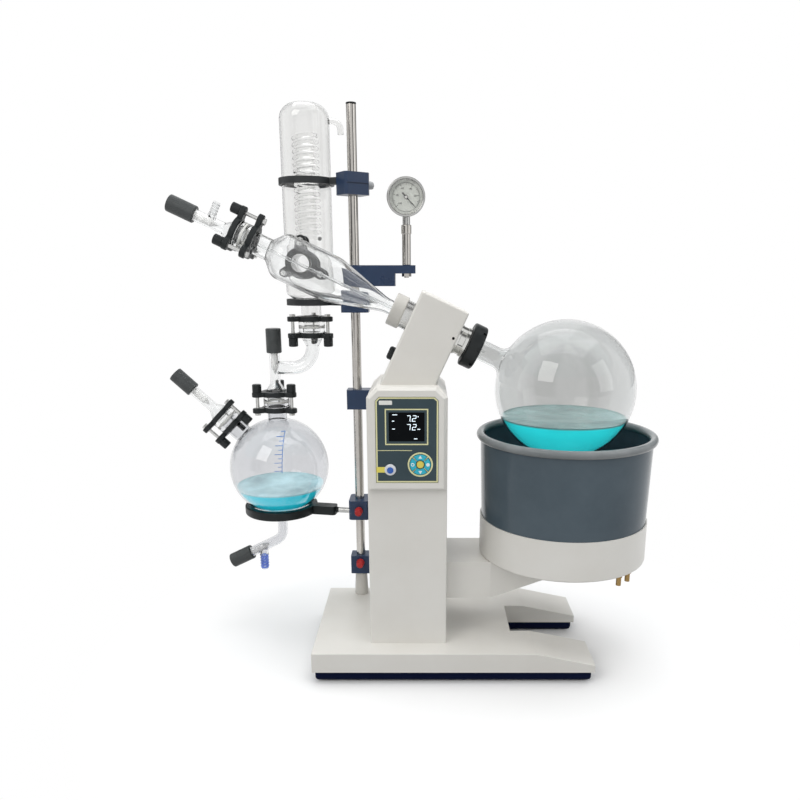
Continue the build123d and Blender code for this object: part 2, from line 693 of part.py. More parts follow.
def power_button():
    cap = turned(
        (0, -POWER_LENGTH), (POWER_R, -POWER_LENGTH), (POWER_R, -POWER_DOME, POWER_DOME), (0, 0)
    )
    return front_plane(POWER_X, POWER_Z, FASCIA_FRONT - POWER_PROUD).location * cap


def head_outline():
    """Front outline of the head: square to the spindle, cut level where it stands on the column."""
    rise = HEAD_RISE
    top_left = (SPINDLE_X + rise * sin(TILT), SPINDLE_Z + rise * cos(TILT))
    top_right = (
        top_left[0] + HEAD_LENGTH * cos(TILT), top_left[1] - HEAD_LENGTH * sin(TILT)
    )
    return make_face(Plane.XZ * Polyline(
        top_left, top_right, head_corner(HEAD_LENGTH, COLUMN_TOP), head_corner(0, COLUMN_TOP), close=True
    ))


def head_housing():
    outline = head_outline()
    body = extrude(outline, HEAD_WIDTH / 2, both=True)
    body = fillet(body.edges().filter_by(lambda edge: edge.center().Z > COLUMN_TOP + 1), HEAD_EDGE)
    body -= extrude(offset(outline, -HEAD_WALL), HEAD_WIDTH / 2 - HEAD_WALL, both=True)
    boss_r = BEARING_R + BEARING_BOSS_WALL
    body += on_spindle(bar(boss_r, HEAD_WALL / 2, BEARING_BOSS_LENGTH))
    body += on_spindle(bar(boss_r, HEAD_LENGTH - BEARING_BOSS_LENGTH, HEAD_LENGTH - HEAD_WALL / 2))
    body -= on_spindle(bar(BEARING_R, HEAD_WALL, BEARING_BOSS_LENGTH + 1))
    body -= on_spindle(bar(BEARING_R, HEAD_LENGTH - BEARING_BOSS_LENGTH - 1, HEAD_LENGTH - HEAD_WALL))
    body -= on_spindle(bar(SPINDLE_R + SLIP, -1, HEAD_LENGTH + 1))
    hole = Rot(-90, 0, 0) * bar(HEAD_HOLE_R, HEAD_WIDTH / 2 - HEAD_WALL - 1, HEAD_WIDTH / 2 + 1)
    return body - on_spindle(Pos(HEAD_HOLE_RISE, 0, HEAD_HOLE_STATION) * hole)


def bearing_starts():
    return HEAD_WALL + SLIP, HEAD_LENGTH - HEAD_WALL - SLIP - BEARING_LENGTH


def spindle_bearings():
    return group([
        on_spindle(ring(BEARING_R - RUNNING, SPINDLE_R + RUNNING, start, start + BEARING_LENGTH))
        for start in bearing_starts()
    ])


def spindle():
    shaft = turned(
        (SPINDLE_BORE, SLIP), (SPINDLE_R, SLIP), (SPINDLE_R, NOSE_START), (NOSE_R, NOSE_START, 1),
        (NOSE_R, NOSE_START + NOSE_FLANGE, 0.6), (NOSE_GROOVE_R, NOSE_START + NOSE_FLANGE),
        (NOSE_GROOVE_R, NOSE_END - NOSE_FLANGE), (NOSE_R, NOSE_END - NOSE_FLANGE, 0.6),
        (NOSE_R, NOSE_END, 1), (NOSE_THREAD_R, NOSE_END), (NOSE_THREAD_R, THREAD_END),
        (SPINDLE_BORE, THREAD_END),
    )
    middle = (NOSE_START + NOSE_END) / 2
    band = ring(NOSE_R - 0.5, NOSE_GROOVE_R - 1, NOSE_START + NOSE_FLANGE - 1, NOSE_END - NOSE_FLANGE + 1)
    for number in range(NOSE_LUGS):
        lug = Rot(0, 0, 35 + 360 * number / NOSE_LUGS) * Pos(NOSE_R, 0, middle) * Box(
            NOSE_R, NOSE_LUG_WIDTH, NOSE_LENGTH
        )
        shaft += band & lug
    return on_spindle(shaft)


def involute(angle):
    return tan(angle) - angle


def gear_outline(teeth, backlash):
    """Spur gear outline with 20 degree teeth; the first tooth points along +X."""
    pitch_r = GEAR_MODULE * teeth / 2
    base_r = pitch_r * cos(radians(20))
    root_r = pitch_r - 1.25 * GEAR_MODULE
    tip_r = pitch_r + 0.9 * GEAR_MODULE
    half_tooth = pi / (2 * teeth) - backlash / (2 * pitch_r)
    flank = []
    for radius in (root_r, pitch_r, tip_r):
        pressure = acos(min(1, base_r / radius))
        flank.append((radius, half_tooth + involute(radians(20)) - involute(pressure)))
    points = []
    for tooth in range(teeth):
        middle = 2 * pi * tooth / teeth
        for radius, half in flank:
            points.append((radius * cos(middle - half), radius * sin(middle - half)))
        for radius, half in reversed(flank):
            points.append((radius * cos(middle + half), radius * sin(middle + half)))
    return make_face(Polyline(*points, close=True))


def drive_gear():
    wheel = extrude(gear_outline(GEAR_TEETH, GEAR_BACKLASH) - Circle(SPINDLE_R + RUNNING), GEAR_WIDTH)
    return on_spindle(Pos(0, 0, GEAR_STATION) * wheel)


def drive_pinion():
    teeth = extrude(Rot(0, 0, 180 / PINION_TEETH) * gear_outline(PINION_TEETH, GEAR_BACKLASH), GEAR_WIDTH)
    wheel = Pos(0, 0, GEAR_STATION) * teeth
    motor_face = HEAD_WALL + DRIVE_MOTOR_LENGTH
    shaft = bar(PINION_SHAFT_R, motor_face - PINION_SHAFT_DEPTH, GEAR_STATION + GEAR_WIDTH)
    return on_spindle(Pos(-PINION_DROP, 0) * (wheel + shaft))


def drive_motor():
    end = HEAD_WALL + DRIVE_MOTOR_LENGTH
    can = turned(
        (0, HEAD_WALL), (DRIVE_MOTOR_R, HEAD_WALL), (DRIVE_MOTOR_R, end, 3), (0, end)
    )
    bore = bar(PINION_SHAFT_R + RUNNING, end - PINION_SHAFT_DEPTH - SLIP, end + 1)
    return on_spindle(Pos(-PINION_DROP, 0) * (can - bore))


def flask_clamp_nut():
    thread = NOSE_THREAD_R + RUNNING
    start = NOSE_END + SLIP
    end = start + CLAMP_NUT_LENGTH
    lip = end - CLAMP_NUT_LIP
    nut = turned(
        (thread, start), (CLAMP_NUT_R, start, 3), (CLAMP_NUT_R, end, 4),
        (FLASK_NECK_R + SLIP, end), (FLASK_NECK_R + SLIP, lip), (thread, lip),
    )
    for number in range(CLAMP_NUT_NOTCHES):
        nut -= Rot(0, 0, 360 * number / CLAMP_NUT_NOTCHES) * Pos(CLAMP_NUT_R, 0, end) * Box(
            2 * BOLT_R, CLAMP_NUT_NOTCH, 2 * CLAMP_NUT_NOTCH
        )
    return on_spindle(nut)


def flask_form(shrink):
    """Outer or inner body of the evaporating flask: ball, flared neck and trapped bead."""
    ball_r = FLASK_R - shrink
    neck_r = FLASK_NECK_R - shrink
    flare = FLASK_NECK_FLARE + shrink
    start = NOSE_START + (-shrink if shrink else 0)
    # The flare is a round that touches both the neck and the ball
    centre_r = neck_r + flare
    centre_s = FLASK_REACH - sqrt((ball_r + flare) ** 2 - centre_r ** 2)
    share = ball_r / (ball_r + flare)
    meet_r = centre_r * share
    meet_s = FLASK_REACH + (centre_s - FLASK_REACH) * share
    neck = Line((0, start), (neck_r, start)) + Line((neck_r, start), (neck_r, centre_s))
    bend = RadiusArc((neck_r, centre_s), (meet_r, meet_s), flare)
    ball = ThreePointArc((meet_r, meet_s), (ball_r, FLASK_REACH), (0, FLASK_REACH + ball_r))
    axis = Line((0, FLASK_REACH + ball_r), (0, start))
    return revolve(make_face(Plane.XZ * (neck + bend + ball + axis)), Axis.Z)


def evaporating_flask():
    bead_start = THREAD_END + SLIP
    glass = flask_form(0) + bar(FLASK_BEAD_R, bead_start, bead_start + FLASK_BEAD)
    return on_spindle(glass - flask_form(GLASS_WALL))


def duct_socket():
    body = turned(
        (SPINDLE_BORE, -SOCKET_LENGTH), (SOCKET_R, -SOCKET_LENGTH, 1), (SOCKET_R, 0), (SPINDLE_BORE, 0)
    )
    bare = SOCKET_LENGTH + DUCT_BEAD + SLIP + LOCK_NUT_LIP - LOCK_NUT_LENGTH
    pitch = bare / (SOCKET_GROOVES + 0.5)
    for number in range(SOCKET_GROOVES):
        middle = -pitch * (number + 0.75)
        body -= ring(SOCKET_R + 1, SOCKET_R - SOCKET_GROOVE, middle - pitch / 4, middle + pitch / 4)
    return on_spindle(body)


def vacuum_seal():
    return on_spindle(ring(SPINDLE_BORE - SLIP, DUCT_TUBE_R + SLIP, -SEAL_LENGTH - SLIP, -SLIP))


def duct_lock_nut():
    start = -SOCKET_LENGTH - DUCT_BEAD - SLIP - LOCK_NUT_LIP
    lip = start + LOCK_NUT_LIP
    return on_spindle(turned(
        (DUCT_TUBE_R + SLIP, start), (LOCK_NUT_R, start, 2), (LOCK_NUT_R, start + LOCK_NUT_LENGTH, 2),
        (SOCKET_R + RUNNING, start + LOCK_NUT_LENGTH), (SOCKET_R + RUNNING, lip), (DUCT_TUBE_R + SLIP, lip),
    ))


def flanged_neck(reach, shrink):
    """Neck of a flanged joint, from the joint's face back along -Z."""
    if shrink:
        return bar(JOINT_NECK_R - shrink, -reach, 1)
    face = -JOINT_SEAL / 2
    return turned(
        (0, -reach), (JOINT_NECK_R, -reach), (JOINT_NECK_R, face - JOINT_FLANGE),
        (JOINT_FLANGE_R, face - JOINT_FLANGE, 2), (JOINT_FLANGE_R, face, 1), (0, face),
    )


def duct_form(shrink):
    """Vapour duct along the spindle line: neck, wide body, cone and the tube through the spindle."""
    body_r = DUCT_R - shrink
    tube_r = DUCT_TUBE_R - shrink
    neck_r = JOINT_NECK_R - shrink
    start = -DUCT_JOINT + JOINT_STACK
    end = DUCT_TUBE_REACH + (1 if shrink else 0)
    body = turned(
        (0, start), (neck_r, start), (neck_r, -DUCT_SHOULDER - JOINT_NECK_R + shrink, 4),
        (body_r, -DUCT_SHOULDER + shrink, 18), (body_r, -DUCT_CONE_START, 60),
        (tube_r, -DUCT_CONE_END, 40), (tube_r, end), (0, end),
    )
    joint = Pos(0, 0, -DUCT_JOINT) * Rot(180, 0, 0) * flanged_neck(JOINT_STACK + 1, shrink)
    return body + joint


def port_plane(direction):
    """Joint between duct and condenser; +Z points along +Y or -Y."""
    return Plane(origin=(CONDENSER_X, PORT_Y, PORT_Z), x_dir=(0, 0, 1), z_dir=(0, direction, 0))


def vapour_duct():
    bead_end = -SOCKET_LENGTH - SLIP
    bead = turned(
        (0, bead_end - DUCT_BEAD), (DUCT_BEAD_R, bead_end - DUCT_BEAD, 1), (DUCT_BEAD_R, bead_end, 1),
        (0, bead_end),
    )
    port = port_plane(1).location * flanged_neck(PORT_Y - DUCT_R / 2, 0)
    port_bore = port_plane(1).location * flanged_neck(PORT_Y - DUCT_R / 2, GLASS_WALL)
    glass = on_spindle(duct_form(0) + bead) + port
    return glass - on_spindle(duct_form(GLASS_WALL)) - port_bore


def condenser_form(shrink):
    body_r = CONDENSER_R - shrink
    neck_r = JOINT_NECK_R - shrink
    top = CONDENSER_TOP - shrink
    low = CONDENSER_FOOT - CONDENSER_FOOT_CONE
    body = turned(
        (0, CONDENSER_JOINT_Z + JOINT_STACK), (neck_r, CONDENSER_JOINT_Z + JOINT_STACK),
        (neck_r, low), (body_r, CONDENSER_FOOT, 8), (body_r, top, CONDENSER_DOME - shrink), (0, top),
    )
    foot = Pos(0, 0, CONDENSER_JOINT_Z) * Rot(180, 0, 0) * flanged_neck(JOINT_STACK + 1, shrink)
    return Pos(CONDENSER_X, CONDENSER_Y) * (body + foot)


def hook_path():
    level = CONDENSER_TOP - HOOK_BELOW_TOP
    start = CONDENSER_X + CONDENSER_R - 2 * HOOK_R
    end = CONDENSER_X + HOOK_REACH
    return FilletPolyline(
        (start, CONDENSER_Y, level), (end, CONDENSER_Y, level), (end, CONDENSER_Y, level - HOOK_DROP),
        radius=[HOOK_BEND],
    )


def condenser_jacket():
    reach = CONDENSER_Y - PORT_Y - CONDENSER_R / 2
    glass = condenser_form(0) + port_plane(-1).location * flanged_neck(reach, 0) + swept(HOOK_R, hook_path())
    glass -= condenser_form(GLASS_WALL) + port_plane(-1).location * flanged_neck(reach, GLASS_WALL)
    return glass - swept(HOOK_R - HOOK_WALL, hook_path())


def condenser_coil():
    """Cooling coil of level half turns that climb side by side, with a riser to the dome."""
    dome_r = CONDENSER_DOME - GLASS_WALL
    beside = COIL_R + COIL_TUBE_R - (CONDENSER_R - CONDENSER_DOME)
    riser_top = CONDENSER_TOP - CONDENSER_DOME + sqrt(dome_r ** 2 - beside ** 2) - SLIP
    runs = []
    for half_turn in range(2 * COIL_TURNS):
        side = 1 if half_turn % 2 == 0 else -1
        z = COIL_START + half_turn * COIL_PITCH / 2
        runs.append(ThreePointArc(
            (side * COIL_R, 0, z), (0, side * COIL_R, z + COIL_PITCH / 4), (-side * COIL_R, 0, z + COIL_PITCH / 2)
        ))
    coil = swept(COIL_TUBE_R, Wire(runs))
    top = COIL_START + COIL_TURNS * COIL_PITCH
    riser = Pos(COIL_R, 0) * bar(COIL_TUBE_R, top, riser_top)
    return Pos(CONDENSER_X, CONDENSER_Y) * (coil + riser)


def barrel_form(shrink, reach, tip):
    """Valve barrel that stands on a joint along +Z, with its neck through the clamp plate."""
    neck_r = JOINT_NECK_R - shrink
    radius = BARREL_R - shrink
    start = JOINT_STACK - 1
    body = turned(
        (0, start), (neck_r, start), (neck_r, JOINT_STACK + 2, 3), (radius, JOINT_STACK + BARREL_CONE, 6),
        (radius, reach + tip), (0, reach + tip),
    )
    return body + Rot(180, 0, 0) * flanged_neck(JOINT_STACK, shrink)


def valve(reach):
    """Handle with its pointed stem, along +Z, the handle just clear of the barrel's end."""
    stem_r = BARREL_R - GLASS_WALL - SLIP
    start = reach - STEM_LENGTH
    handle = reach + SLIP
    return turned(
        (0, start), (stem_r, start + STEM_POINT), (stem_r, handle), (HANDLE_R, handle, 2),
        (HANDLE_R, handle + HANDLE_LENGTH, 2), (0, handle + HANDLE_LENGTH),
    )


def barb(radius, stop, length, bore):
    """Hose stub along +Z from a barrel's axis, with a stop bead at its root."""
    end = BARREL_R + stop + length
    if bore:
        return bar(radius - BARB_WALL, BARREL_R / 2, end + 1)
    return turned(
        (0, BARREL_R / 2), (radius + BARB_BEAD, BARREL_R / 2), (radius + BARB_BEAD, BARREL_R + stop, BARB_BEAD / 2),
        (radius, BARREL_R + stop), (radius, end), (0, end),
    )


FEED = Plane(
    origin=SPINDLE.from_local_coords(Vector(0, 0, -DUCT_JOINT)),
    x_dir=(sin(TILT), 0, cos(TILT)), z_dir=(-cos(TILT), 0, sin(TILT)),
)


def feed_inlet():
    stub = Pos(0, 0, FEED_BARB_REACH) * Rot(0, 90, 0)
    glass = barrel_form(0, BARREL_REACH, 0) + stub * barb(BARB_R, BARB_STOP, BARB_LENGTH, False)
    glass -= barrel_form(GLASS_WALL, BARREL_REACH, 1) + stub * barb(BARB_R, BARB_STOP, BARB_LENGTH, True)
    web = bar(JOINT_NECK_R - GLASS_WALL / 2, JOINT_SEAL / 2, JOINT_SEAL / 2 + GLASS_WALL)
    tube_end = -DUCT_JOINT - FEED_TUBE_REACH
    tube = bar(FEED_TUBE_R, tube_end, JOINT_SEAL / 2 + GLASS_WALL)
    bore = bar(FEED_TUBE_BORE, tube_end - 1, JOINT_SEAL / 2 + GLASS_WALL + 1)
    return FEED.location * (glass + web + tube - bore)


def feed_valve():
    return FEED.location * valve(BARREL_REACH)


RECEIVER_TOP = Plane(origin=(RECEIVER_X, CONDENSER_Y, RECEIVER_JOINT_Z), x_dir=(1, 0, 0), z_dir=(0, 0, 1))
VENT_RAD = radians(VENT_ANGLE)
VENT = Plane(
    origin=(
        RECEIVER_X - VENT_JOINT * cos(VENT_RAD), CONDENSER_Y, RECEIVER_Z + VENT_JOINT * sin(VENT_RAD)
    ),
    x_dir=(sin(VENT_RAD), 0, cos(VENT_RAD)), z_dir=(-cos(VENT_RAD), 0, sin(VENT_RAD)),
)


def elbow_path():
    return FilletPolyline(
        (CONDENSER_X, CONDENSER_Y, CONDENSER_JOINT_Z - JOINT_STACK), (CONDENSER_X, CONDENSER_Y, ELBOW_Z),
        (RECEIVER_X, CONDENSER_Y, ELBOW_Z), radius=[ELBOW_BEND],
    )


def elbow_form(shrink):
    top = Pos(CONDENSER_X, CONDENSER_Y, CONDENSER_JOINT_Z) * flanged_neck(JOINT_STACK + 4, shrink)
    fairing = Pos(CONDENSER_X, CONDENSER_Y, CONDENSER_JOINT_Z - JOINT_STACK - 4) * turned(
        (0, -10), (ELBOW_R - shrink, -10), (JOINT_NECK_R - shrink, 0), (0, 0)
    )
    barrel = RECEIVER_TOP.location * barrel_form(shrink, ELBOW_BARREL, 1 if shrink else 0)
    return top + fairing + swept(ELBOW_R - shrink, elbow_path()) + barrel


def return_elbow():
    return elbow_form(0) - elbow_form(GLASS_WALL)


def elbow_valve():
    return RECEIVER_TOP.location * valve(ELBOW_BARREL)


DRAIN_RAD = radians(DRAIN_ANGLE)
DRAIN_TOP = RECEIVER_Z - RECEIVER_R
DRAIN_TURN = DRAIN_TOP - DRAIN_DROP
DRAIN = Plane(
    origin=(RECEIVER_X, CONDENSER_Y, DRAIN_TURN), x_dir=(sin(DRAIN_RAD), 0, -cos(DRAIN_RAD)),
    z_dir=(-cos(DRAIN_RAD), 0, -sin(DRAIN_RAD)),
)


def receiver_form(shrink):
    ball = Pos(RECEIVER_X, CONDENSER_Y, RECEIVER_Z) * Sphere(RECEIVER_R - shrink)
    neck = RECEIVER_TOP.location * flanged_neck(RECEIVER_JOINT_Z - RECEIVER_Z - RECEIVER_R * 0.9, shrink)
    vent = VENT.location * flanged_neck(VENT_JOINT - RECEIVER_R * 0.9, shrink)
    return ball + neck + vent + swept(BARREL_R - shrink, drain_path(1 if shrink else 0))


def drain_path(past):
    """Middle line of the drain, from inside the ball, round the bend to the handle's end."""
    end = DRAIN.from_local_coords(Vector(0, 0, DRAIN_BARREL + past))
    return FilletPolyline(
        (RECEIVER_X, CONDENSER_Y, RECEIVER_Z - RECEIVER_R * 0.95), (RECEIVER_X, CONDENSER_Y, DRAIN_TURN),
        (end.X, end.Y, end.Z), radius=[DRAIN_BEND],
    )


def drain_barb(bore):
    """Hose stub straight down from the drain barrel."""
    foot = DRAIN.from_local_coords(Vector(0, 0, DRAIN_BARB_AT))
    stub = barb(DRAIN_BARB_R, DRAIN_BARB_STOP, DRAIN_BARB_LENGTH, bore)
    return Pos(foot.X, foot.Y, foot.Z) * Rot(180, 0, 0) * stub


def receiving_flask():
    return receiver_form(0) + drain_barb(False) - receiver_form(GLASS_WALL) - drain_barb(True)


def drain_valve():
    return DRAIN.location * valve(DRAIN_BARREL)


def vent_inlet():
    return VENT.location * (barrel_form(0, BARREL_REACH, 0) - barrel_form(GLASS_WALL, BARREL_REACH, 1))


def vent_valve():
    return VENT.location * valve(BARREL_REACH)


def joints():
    """Every flanged joint: its plane, the side of its knobs along +Z (0 for plain nuts), lobe turn."""
    condenser_foot = Plane(
        origin=(CONDENSER_X, CONDENSER_Y, CONDENSER_JOINT_Z), x_dir=(1, 0, 0), z_dir=(0, 0, 1)
    )
    return [
        (FEED, 1, 0), (port_plane(1), 0, 0), (condenser_foot, -1, 90), (RECEIVER_TOP, 1, 90), (VENT, -1, 90),
    ]


def lobe_angles(turn):
    return [turn + 360 * number / PLATE_LOBES for number in range(PLATE_LOBES)]


def clamp_plate(turn):
    """Lobed plate on the XY plane, with its neck hole and bolt holes."""
    outline = Circle(PLATE_RING_R)
    for angle in lobe_angles(turn):
        outline += Rot(0, 0, angle) * Pos(PLATE_LOBE_REACH, 0) * Circle(PLATE_LOBE_R)
        outline += Rot(0, 0, angle) * Pos(PLATE_LOBE_REACH / 2, 0) * Rectangle(PLATE_LOBE_REACH, 2 * PLATE_LOBE_R)
    plate = extrude(outline, PLATE_THICKNESS)
    plate = fillet(plate.edges().group_by(Axis.Z)[0] + plate.edges().group_by(Axis.Z)[-1], 1.5)
    plate -= bar(JOINT_NECK_R + SLIP, -1, PLATE_THICKNESS + 1)
    for angle in lobe_angles(turn):
        plate -= Rot(0, 0, angle) * Pos(PLATE_LOBE_REACH, 0) * bar(BOLT_R + SLIP, -1, PLATE_THICKNESS + 1)
    return plate


def clamp_plates():
    plates = []
    for place, _, turn in joints():
        plate = clamp_plate(turn)
        plates.append(place.location * Pos(0, 0, PLATE_GAP) * plate)
        plates.append(place.location * Pos(0, 0, -JOINT_STACK) * plate)
    return group(plates)


def clamp_bolt(knob_side):
    """Bolt through both plates; a head on one side, a knob or a plain nut on the other."""
    head = extrude(RegularPolygon(BOLT_HEAD_R, 6), BOLT_HEAD)
    if knob_side:
        end = JOINT_STACK + KNOB_DEPTH
        return bar(BOLT_R, -JOINT_STACK, end) + Pos(0, 0, -JOINT_STACK - BOLT_HEAD) * head
    return bar(BOLT_R, -JOINT_STACK, JOINT_STACK) + Pos(0, 0, -JOINT_STACK - BOLT_HEAD) * head + (
        Pos(0, 0, JOINT_STACK) * head
    )


def joint_rows(side_wanted):
    """Place of each bolt line, with +Z towards the knob."""
    for place, side, turn in joints():
        if side_wanted(side):
            for angle in lobe_angles(turn):
                line = place.location * Rot(0, 0, angle) * Pos(PLATE_LOBE_REACH, 0)
                yield (line * Rot(180, 0, 0) if side < 0 else line), side


def clamp_bolts():
    return group([line * clamp_bolt(side) for line, side in joint_rows(lambda side: True)])


def clamp_knobs():
    knob = turned(
        (BOLT_R + SLIP, 0), (KNOB_R, 0, 1), (KNOB_R, KNOB_LENGTH, 2), (0, KNOB_LENGTH),
        (0, KNOB_DEPTH + SLIP), (BOLT_R + SLIP, KNOB_DEPTH + SLIP),
    )
    seated = Pos(0, 0, JOINT_STACK) * knob
    return group([line * seated for line, side in joint_rows(lambda side: side != 0)])


def flange_seals():
    seal = ring(JOINT_FLANGE_R, JOINT_NECK_R - GLASS_WALL, -JOINT_SEAL / 2, JOINT_SEAL / 2)
    return group([place.location * seal for place, _, _ in joints()])


def on_rod(shape):
    return Pos(ROD_X, ROD_Y) * shape


def rod_bore(bottom, top):
    return on_rod(bar(ROD_R + RUNNING, bottom - 1, top + 1))


def support_rod():
    return on_rod(turned((0, COVER_TOP), (ROD_R, COVER_TOP), (ROD_R, ROD_TOP, 1.5), (0, ROD_TOP)))


def rod_socket():
    return on_rod(turned(
        (ROD_R + RUNNING, COVER_TOP), (SOCKET_FOOT_R, COVER_TOP, 1), (SOCKET_TOP_R, COVER_TOP + SOCKET_HEIGHT, 1),
        (ROD_R + RUNNING, COVER_TOP + SOCKET_HEIGHT),
    ))


def rod_brackets():
    """Blocks on the back of the column that hold the rod upright."""
    brackets = []
    for level in (LOWER_BRACKET_Z, UPPER_BRACKET_Z):
        body = block(
            ROD_X - BRACKET_OVERHANG, COLUMN_LEFT + BRACKET_OVERLAP, COLUMN_BACK, COLUMN_BACK + BRACKET_DEPTH,
            level, level + BRACKET_HEIGHT,
        )
        body = fillet(body.edges().filter_by(Axis.Z), BOSS_EDGE / 2)
        screw = lower_screw_place() * bar(SCREW_R + RUNNING, 0, BRACKET_DEPTH / 2)
        brackets.append(body - rod_bore(level, level + BRACKET_HEIGHT) - screw)
    return group(brackets)


def lower_screw_place():
    """Clamp screw of the lower bracket; +Z points into the block, towards the rod."""
    level = LOWER_BRACKET_Z + BRACKET_HEIGHT * 0.65
    return Plane(origin=(ROD_X, COLUMN_BACK, level), x_dir=(1, 0, 0), z_dir=(0, 1, 0)).location


def ring_places():
    """Ring arms: name, ring centre X, middle Z, ring outer radius, arm height."""
    return {
        "condenser": (CONDENSER_X, UPPER_BOSS_Z + UPPER_RING_RISE, CONDENSER_R + SLIP + RING_WALL, RING_HEIGHT),
        "cradle": (CONDENSER_X, LOWER_BOSS_Z - LOWER_RING_DROP, CRADLE_R, RING_HEIGHT),
        "receiver": (RECEIVER_X, RECEIVER_RING_Z, RECEIVER_RING_R, RECEIVER_RING_HEIGHT),
    }


def arm_frame(name):
    """Frame at a ring's centre with +X towards the rod, and the distance to the rod."""
    x, z, _, _ = ring_places()[name]
    along = Vector(ROD_X - x, ROD_Y - CONDENSER_Y, 0)
    return Plane(origin=(x, CONDENSER_Y, z), x_dir=along, z_dir=(0, 0, 1)), along.length


def arm_bar(name, grow):
    """Bar from a ring towards the rod; grown, it cuts the slot in the boss."""
    frame, distance = arm_frame(name)
    _, _, outer, height = ring_places()[name]
    end = distance - ROD_R - RING_WALL + (grow if grow else 0)
    if name == "receiver":
        start = outer + RECEIVER_TAB_LENGTH - RECEIVER_STEM_R
        stem = Rot(0, 90, 0) * bar(RECEIVER_STEM_R + grow, start, end)
        return frame.location * stem
    start = outer - RING_WALL / 2
    return frame.location * block(
        start, end, -RING_ARM_WIDTH / 2 - grow, RING_ARM_WIDTH / 2 + grow, -height / 2 - grow, height / 2 + grow
    )


def condenser_rings():
    frame, _ = arm_frame("condenser")
    _, _, outer, height = ring_places()["condenser"]
    clip = frame.location * ring(outer, outer - RING_WALL, -height / 2, height / 2)
    clip += arm_bar("condenser", 0) - frame.location * bar(outer - RING_WALL, -height, height)
    frame, _ = arm_frame("cradle")
    _, z, outer, height = ring_places()["cradle"]
    top = z + height / 2
    slope = (CONDENSER_R - JOINT_NECK_R) / CONDENSER_FOOT_CONE
    bore = JOINT_NECK_R + (top - CONDENSER_FOOT + CONDENSER_FOOT_CONE) * slope + SLIP
    cradle = frame.location * ring(outer, bore, -height / 2, height / 2) + arm_bar("cradle", 0)
    return group([clip, cradle])


def receiver_ring():
    frame, _ = arm_frame("receiver")
    _, _, outer, height = ring_places()["receiver"]
    hoop = turned(
        (RECEIVER_RING_BORE, -height / 2), (outer, -height / 2, 3), (outer, height / 2, 3),
        (RECEIVER_RING_BORE, height / 2),
    )
    tab = block(
        outer - 3, outer + RECEIVER_TAB_LENGTH, -RECEIVER_TAB_WIDTH / 2, RECEIVER_TAB_WIDTH / 2,
        -height / 2, height / 2,
    )
    tab = fillet(tab.edges().filter_by(Axis.Z).group_by(Axis.X)[-1], RECEIVER_TAB_WIDTH / 4)
    return frame.location * (hoop + tab) + arm_bar("receiver", 0)


def boss_places():
    """Boss clamps on the rod: ring that each holds, middle Z, turn about the rod in degrees."""
    return [
        ("condenser", UPPER_BOSS_Z, UPPER_BOSS_TURN), ("cradle", LOWER_BOSS_Z, 0.0),
        ("receiver", RECEIVER_BOSS_Z, -90.0),
    ]


def boss_screw(turn, z):
    """Clamp screw at the free end of a boss; +Z points out of the block."""
    return Pos(ROD_X, ROD_Y, z) * Rot(0, 0, turn) * Pos(BOSS_LENGTH / 2, 0) * Rot(0, 90, 0)


def boss_clamps():
    bosses = []
    for name, z, turn in boss_places():
        body = Box(BOSS_LENGTH, BOSS_WIDTH, BOSS_HEIGHT)
        body = chamfer(body.edges().filter_by(Axis.Z), BOSS_EDGE)
        groove = Pos(0, -BOSS_WIDTH / 2) * Box(BOSS_LENGTH + 2, BOSS_EDGE, BOSS_EDGE / 2)
        body = Pos(ROD_X, ROD_Y, z) * Rot(0, 0, turn) * (body - groove)
        body -= rod_bore(z - BOSS_HEIGHT, z + BOSS_HEIGHT) + arm_bar(name, RUNNING * 2)
        depth = BOSS_LENGTH / 2 - ROD_R
        body -= boss_screw(turn, z) * bar(SCREW_R + RUNNING, -depth, 1)
        bosses.append(body)
    return group(bosses)


def clamp_screw(depth):
    """Hand screw: shank into the block along -Z, ribbed head outside."""
    shank = bar(SCREW_R, -depth, 0)
    head = turned((0, 0), (SCREW_KNOB_R, 0, 1), (SCREW_KNOB_R * 0.8, SCREW_KNOB_LENGTH, 2), (0, SCREW_KNOB_LENGTH))
    return shank + head


def clamp_screws():
    depth = BOSS_LENGTH / 2 - ROD_R - SLIP
    screws = [boss_screw(turn, z) * clamp_screw(depth) for _, z, turn in boss_places()]
    bracket_depth = ROD_Y - COLUMN_BACK - ROD_R - SLIP
    screws.append(lower_screw_place() * Rot(180, 0, 0) * clamp_screw(bracket_depth))
    return group(screws)


def gauge_arm():
    top = GAUGE_ARM_TOP
    half = GAUGE_ARM_DEPTH / 2
    block_end = ROD_X + GAUGE_ARM_BLOCK
    body = block(ROD_X - BRACKET_OVERHANG, block_end, ROD_Y - half, ROD_Y + half, GAUGE_ARM_Z, top)
    beam = block(block_end - 1, ROD_X + GAUGE_ARM_REACH, ROD_Y - half, ROD_Y + half, top - GAUGE_ARM_BAR, top)
    body = fillet((body + beam).edges().filter_by(Axis.Z), BOSS_EDGE / 2)
    body -= rod_bore(GAUGE_ARM_Z, top)
    return body - Pos(GAUGE_X, ROD_Y) * bar(POST_STUD_R + RUNNING, GAUGE_ARM_Z, top + 1)


def gauge_post():
    top = GAUGE_ARM_TOP
    under = top - GAUGE_ARM_BAR
    post = turned(
        (0, under - POST_NUT - 2), (POST_STUD_R, under - POST_NUT - 2, 0.5), (POST_STUD_R, top), (POST_R, top, 1),
        (POST_R, top + POST_HEIGHT), (POST_CAP_R, top + POST_HEIGHT, 1),
        (POST_CAP_R, GAUGE_CAP_TOP, 1.5), (0, GAUGE_CAP_TOP),
    )
    nut = Pos(0, 0, under - POST_NUT) * extrude(RegularPolygon(POST_NUT_R, 6) - Circle(POST_STUD_R + RUNNING), POST_NUT)
    return group([Pos(GAUGE_X, ROD_Y) * post, Pos(GAUGE_X, ROD_Y) * nut])


